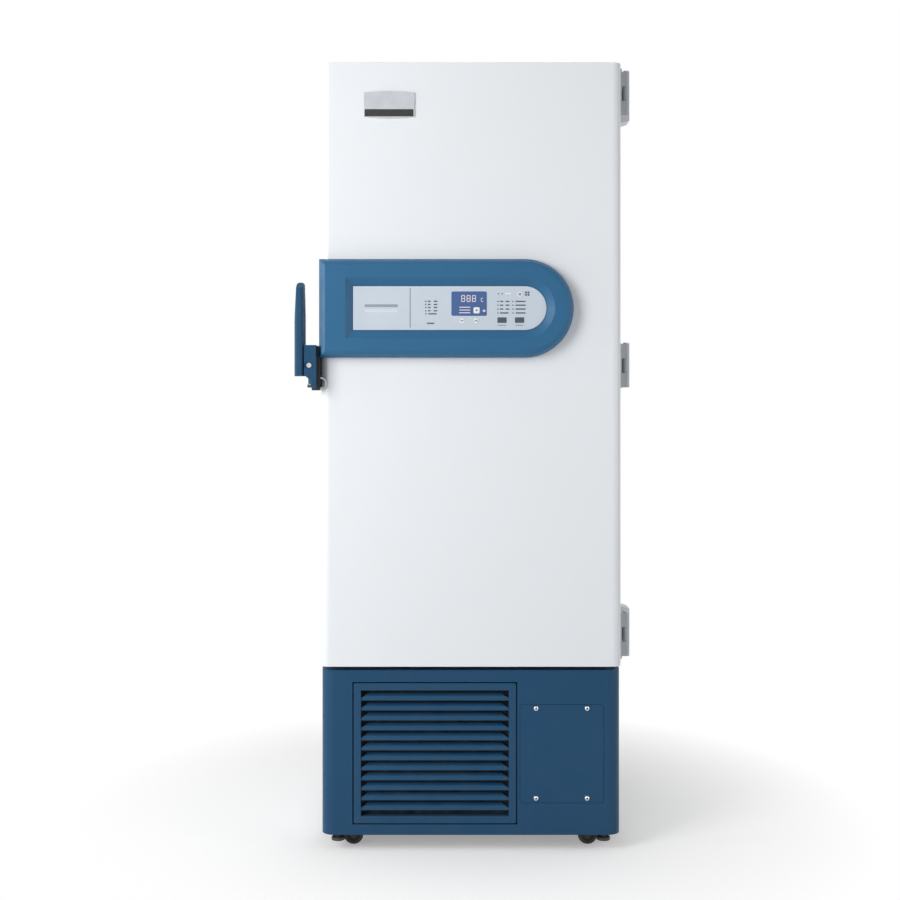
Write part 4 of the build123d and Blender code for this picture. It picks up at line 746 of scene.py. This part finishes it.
# Symbols on the keys: two chevrons, a dot, and a horn
key_front = limits("key_up")[0][1]
SYMBOL_BACK = key_front + 0.3
SYMBOL_FRONT = key_front - 0.25
CHEVRON_REACH = 3.6
CHEVRON_RISE = 1.8
CHEVRON_LINE = 1.7
DOT_SIDE = 4.4
DOT_CORNER = 2.1
for node, way in (("key_up", 1), ("key_down", -1)):
    x, z = middle(node)
    foot_z = z - CHEVRON_RISE * way
    bend = [(x - CHEVRON_REACH, foot_z), (x, z + CHEVRON_RISE * way), (x + CHEVRON_REACH, foot_z)]
    chevron = bmesh.new()
    strokes(chevron, bend, CHEVRON_LINE, SYMBOL_BACK, SYMBOL_FRONT)
    make_piece(f"{node}_chevron", chevron, mark_slate, node)
dot = bmesh.new()
plate(dot, set_x, set_z, DOT_SIDE, DOT_SIDE, SYMBOL_BACK, SYMBOL_FRONT, DOT_CORNER)
make_piece("key_set_dot", dot, mark_slate, "key_set")

HORN_LINE = 1.3
HORN_BACK = 1.4
HORN_FRONT = 2.2
HORN_RISE = 3.2
mute_x, mute_z = middle("key_mute")
horn = bmesh.new()
plate(horn, mute_x - 2.6, mute_z, 3, 3.4, SYMBOL_BACK, SYMBOL_FRONT, 0.4)
throat = (mute_x - HORN_BACK, mute_z)
upper_lip = (mute_x + HORN_FRONT, mute_z + HORN_RISE)
lower_lip = (mute_x + HORN_FRONT, mute_z - HORN_RISE)
for ends in ([throat, upper_lip], [throat, lower_lip], [lower_lip, upper_lip]):
    strokes(horn, ends, HORN_LINE, SYMBOL_BACK, SYMBOL_FRONT)
make_piece("key_mute_horn", horn, mark_slate, "key_mute")

# Badge: dark band across its lower part
BAND_BELOW_MIDDLE = 20.5
BAND_HEIGHT = 18
BAND_SIDE_GAP = 2.5
BAND_SUNK = 0.5
BAND_CORNER = 2
badge_low, badge_high = limits("badge_plate")
badge_x, badge_z = middle("badge_plate")
band_z = badge_z - BAND_BELOW_MIDDLE
band_width = badge_high[0] - badge_low[0] - 2 * BAND_SIDE_GAP
band_back = badge_low[1] + BAND_SUNK
band_front = badge_low[1] - BAND_SUNK
band = bmesh.new()
plate(band, badge_x, band_z, band_width, BAND_HEIGHT, band_back, band_front, BAND_CORNER)
make_piece("badge_band", band, black_plastic, "outer_door")

# Camera, floor and light, in metres. The camera looks level and straight at the front.
CAMERA_PLACE = (-0.0525, -3.7, 1.16)
FOCAL_LENGTH = 52.87
SENSOR_WIDTH = 36.0
LENS_SHIFT = -0.0667
FLOOR_REACH = 12.0
FLOOR_COLOUR = (0.8, 0.8, 0.8, 1.0)
FLOOR_GLOW = 0.3
FADE_FROM = 0.45
FADE_TO = 1.1
STUDIO_LEVEL = 0.27
lens = bpy.data.cameras.new("camera")
lens.lens = FOCAL_LENGTH
lens.sensor_width = SENSOR_WIDTH
lens.shift_y = LENS_SHIFT
camera = bpy.data.objects.new("camera", lens)
camera.location = CAMERA_PLACE
camera.rotation_euler = (pi / 2, 0, 0)
bpy.context.scene.collection.objects.link(camera)
bpy.context.scene.camera = camera


def background_rays(tree):
    """1 for the rays that see the background: straight, mirrored or through glass."""
    path = put(tree, "LightPath").outputs
    straight = combine(tree, "MAXIMUM", path["Is Camera Ray"], path["Is Glossy Ray"])
    return combine(tree, "MAXIMUM", straight, path["Is Transmission Ray"])


def make_floor():
    """Pale floor that fades to the white of the background some way from the object."""
    bm = bmesh.new()
    bmesh.ops.create_grid(bm, x_segments=1, y_segments=1, size=FLOOR_REACH)
    mesh = bpy.data.meshes.new("floor")
    bm.to_mesh(mesh)
    bm.free()
    floor = bpy.data.objects.new("floor", mesh)
    bpy.context.scene.collection.objects.link(floor)
    material = bpy.data.materials.new("pale floor")
    material.use_nodes = True
    tree = material.node_tree
    shader = tree.nodes["Principled BSDF"]
    shader.inputs["Base Color"].default_value = FLOOR_COLOUR
    shader.inputs["Roughness"].default_value = 0.9
    shader.inputs["Specular IOR Level"].default_value = 0.1
    shader.inputs["Emission Color"].default_value = WHITE
    seen = background_rays(tree)
    tree.links.new(combine(tree, "MULTIPLY", seen, FLOOR_GLOW), shader.inputs["Emission Strength"])
    where = put(tree, "TexCoord").outputs["Object"]
    reach = put(tree, "VectorMath", {0: where}, operation="LENGTH").outputs["Value"]
    far = combine(tree, "MULTIPLY", spread(tree, reach, FADE_FROM, FADE_TO), seen)
    white = put(tree, "Emission", {"Color": WHITE, "Strength": 1.0})
    both = put(tree, "MixShader", {0: far, 1: shader.outputs[0], 2: white.outputs[0]})
    tree.links.new(both.outputs[0], tree.nodes["Material Output"].inputs["Surface"])
    mesh.materials.append(material)


def make_world():
    """Dim even light on the object; the rays of background_rays see plain white."""
    world = bpy.data.worlds.new("studio")
    bpy.context.scene.world = world
    world.use_nodes = True
    tree = world.node_tree
    background = tree.nodes["Background"]
    background.inputs["Color"].default_value = WHITE
    seen = background_rays(tree)
    tree.links.new(spread(tree, seen, 0.0, 1.0, STUDIO_LEVEL, 1.0), background.inputs["Strength"])


def soft_box(name, place, aim, size, power):
    """Lamp with a rectangular front that points at a spot."""
    lamp = bpy.data.lights.new(name, "AREA")
    lamp.shape = "RECTANGLE"
    lamp.size, lamp.size_y = size
    lamp.energy = power
    light = bpy.data.objects.new(name, lamp)
    light.location = place
    light.rotation_euler = (Vector(aim) - Vector(place)).to_track_quat("-Z", "Y").to_euler()
    bpy.context.scene.collection.objects.link(light)


make_floor()
make_world()
soft_box("key_light", (-2.4, -2.6, 2.0), (0.0, 0.0, 1.1), (1.5, 2.4), 88)
soft_box("fill_light", (2.8, -2.2, 1.6), (0.0, 0.0, 1.0), (0.8, 2.2), 10)
soft_box("left_strip", (-2.4, -0.9, 1.2), (-0.3, -0.4, 1.2), (0.15, 2.2), 8)
soft_box("right_strip", (2.2, -1.2, 1.2), (0.3, -0.4, 1.2), (0.15, 2.2), 8)
bpy.context.scene.view_settings.view_transform = "Standard"
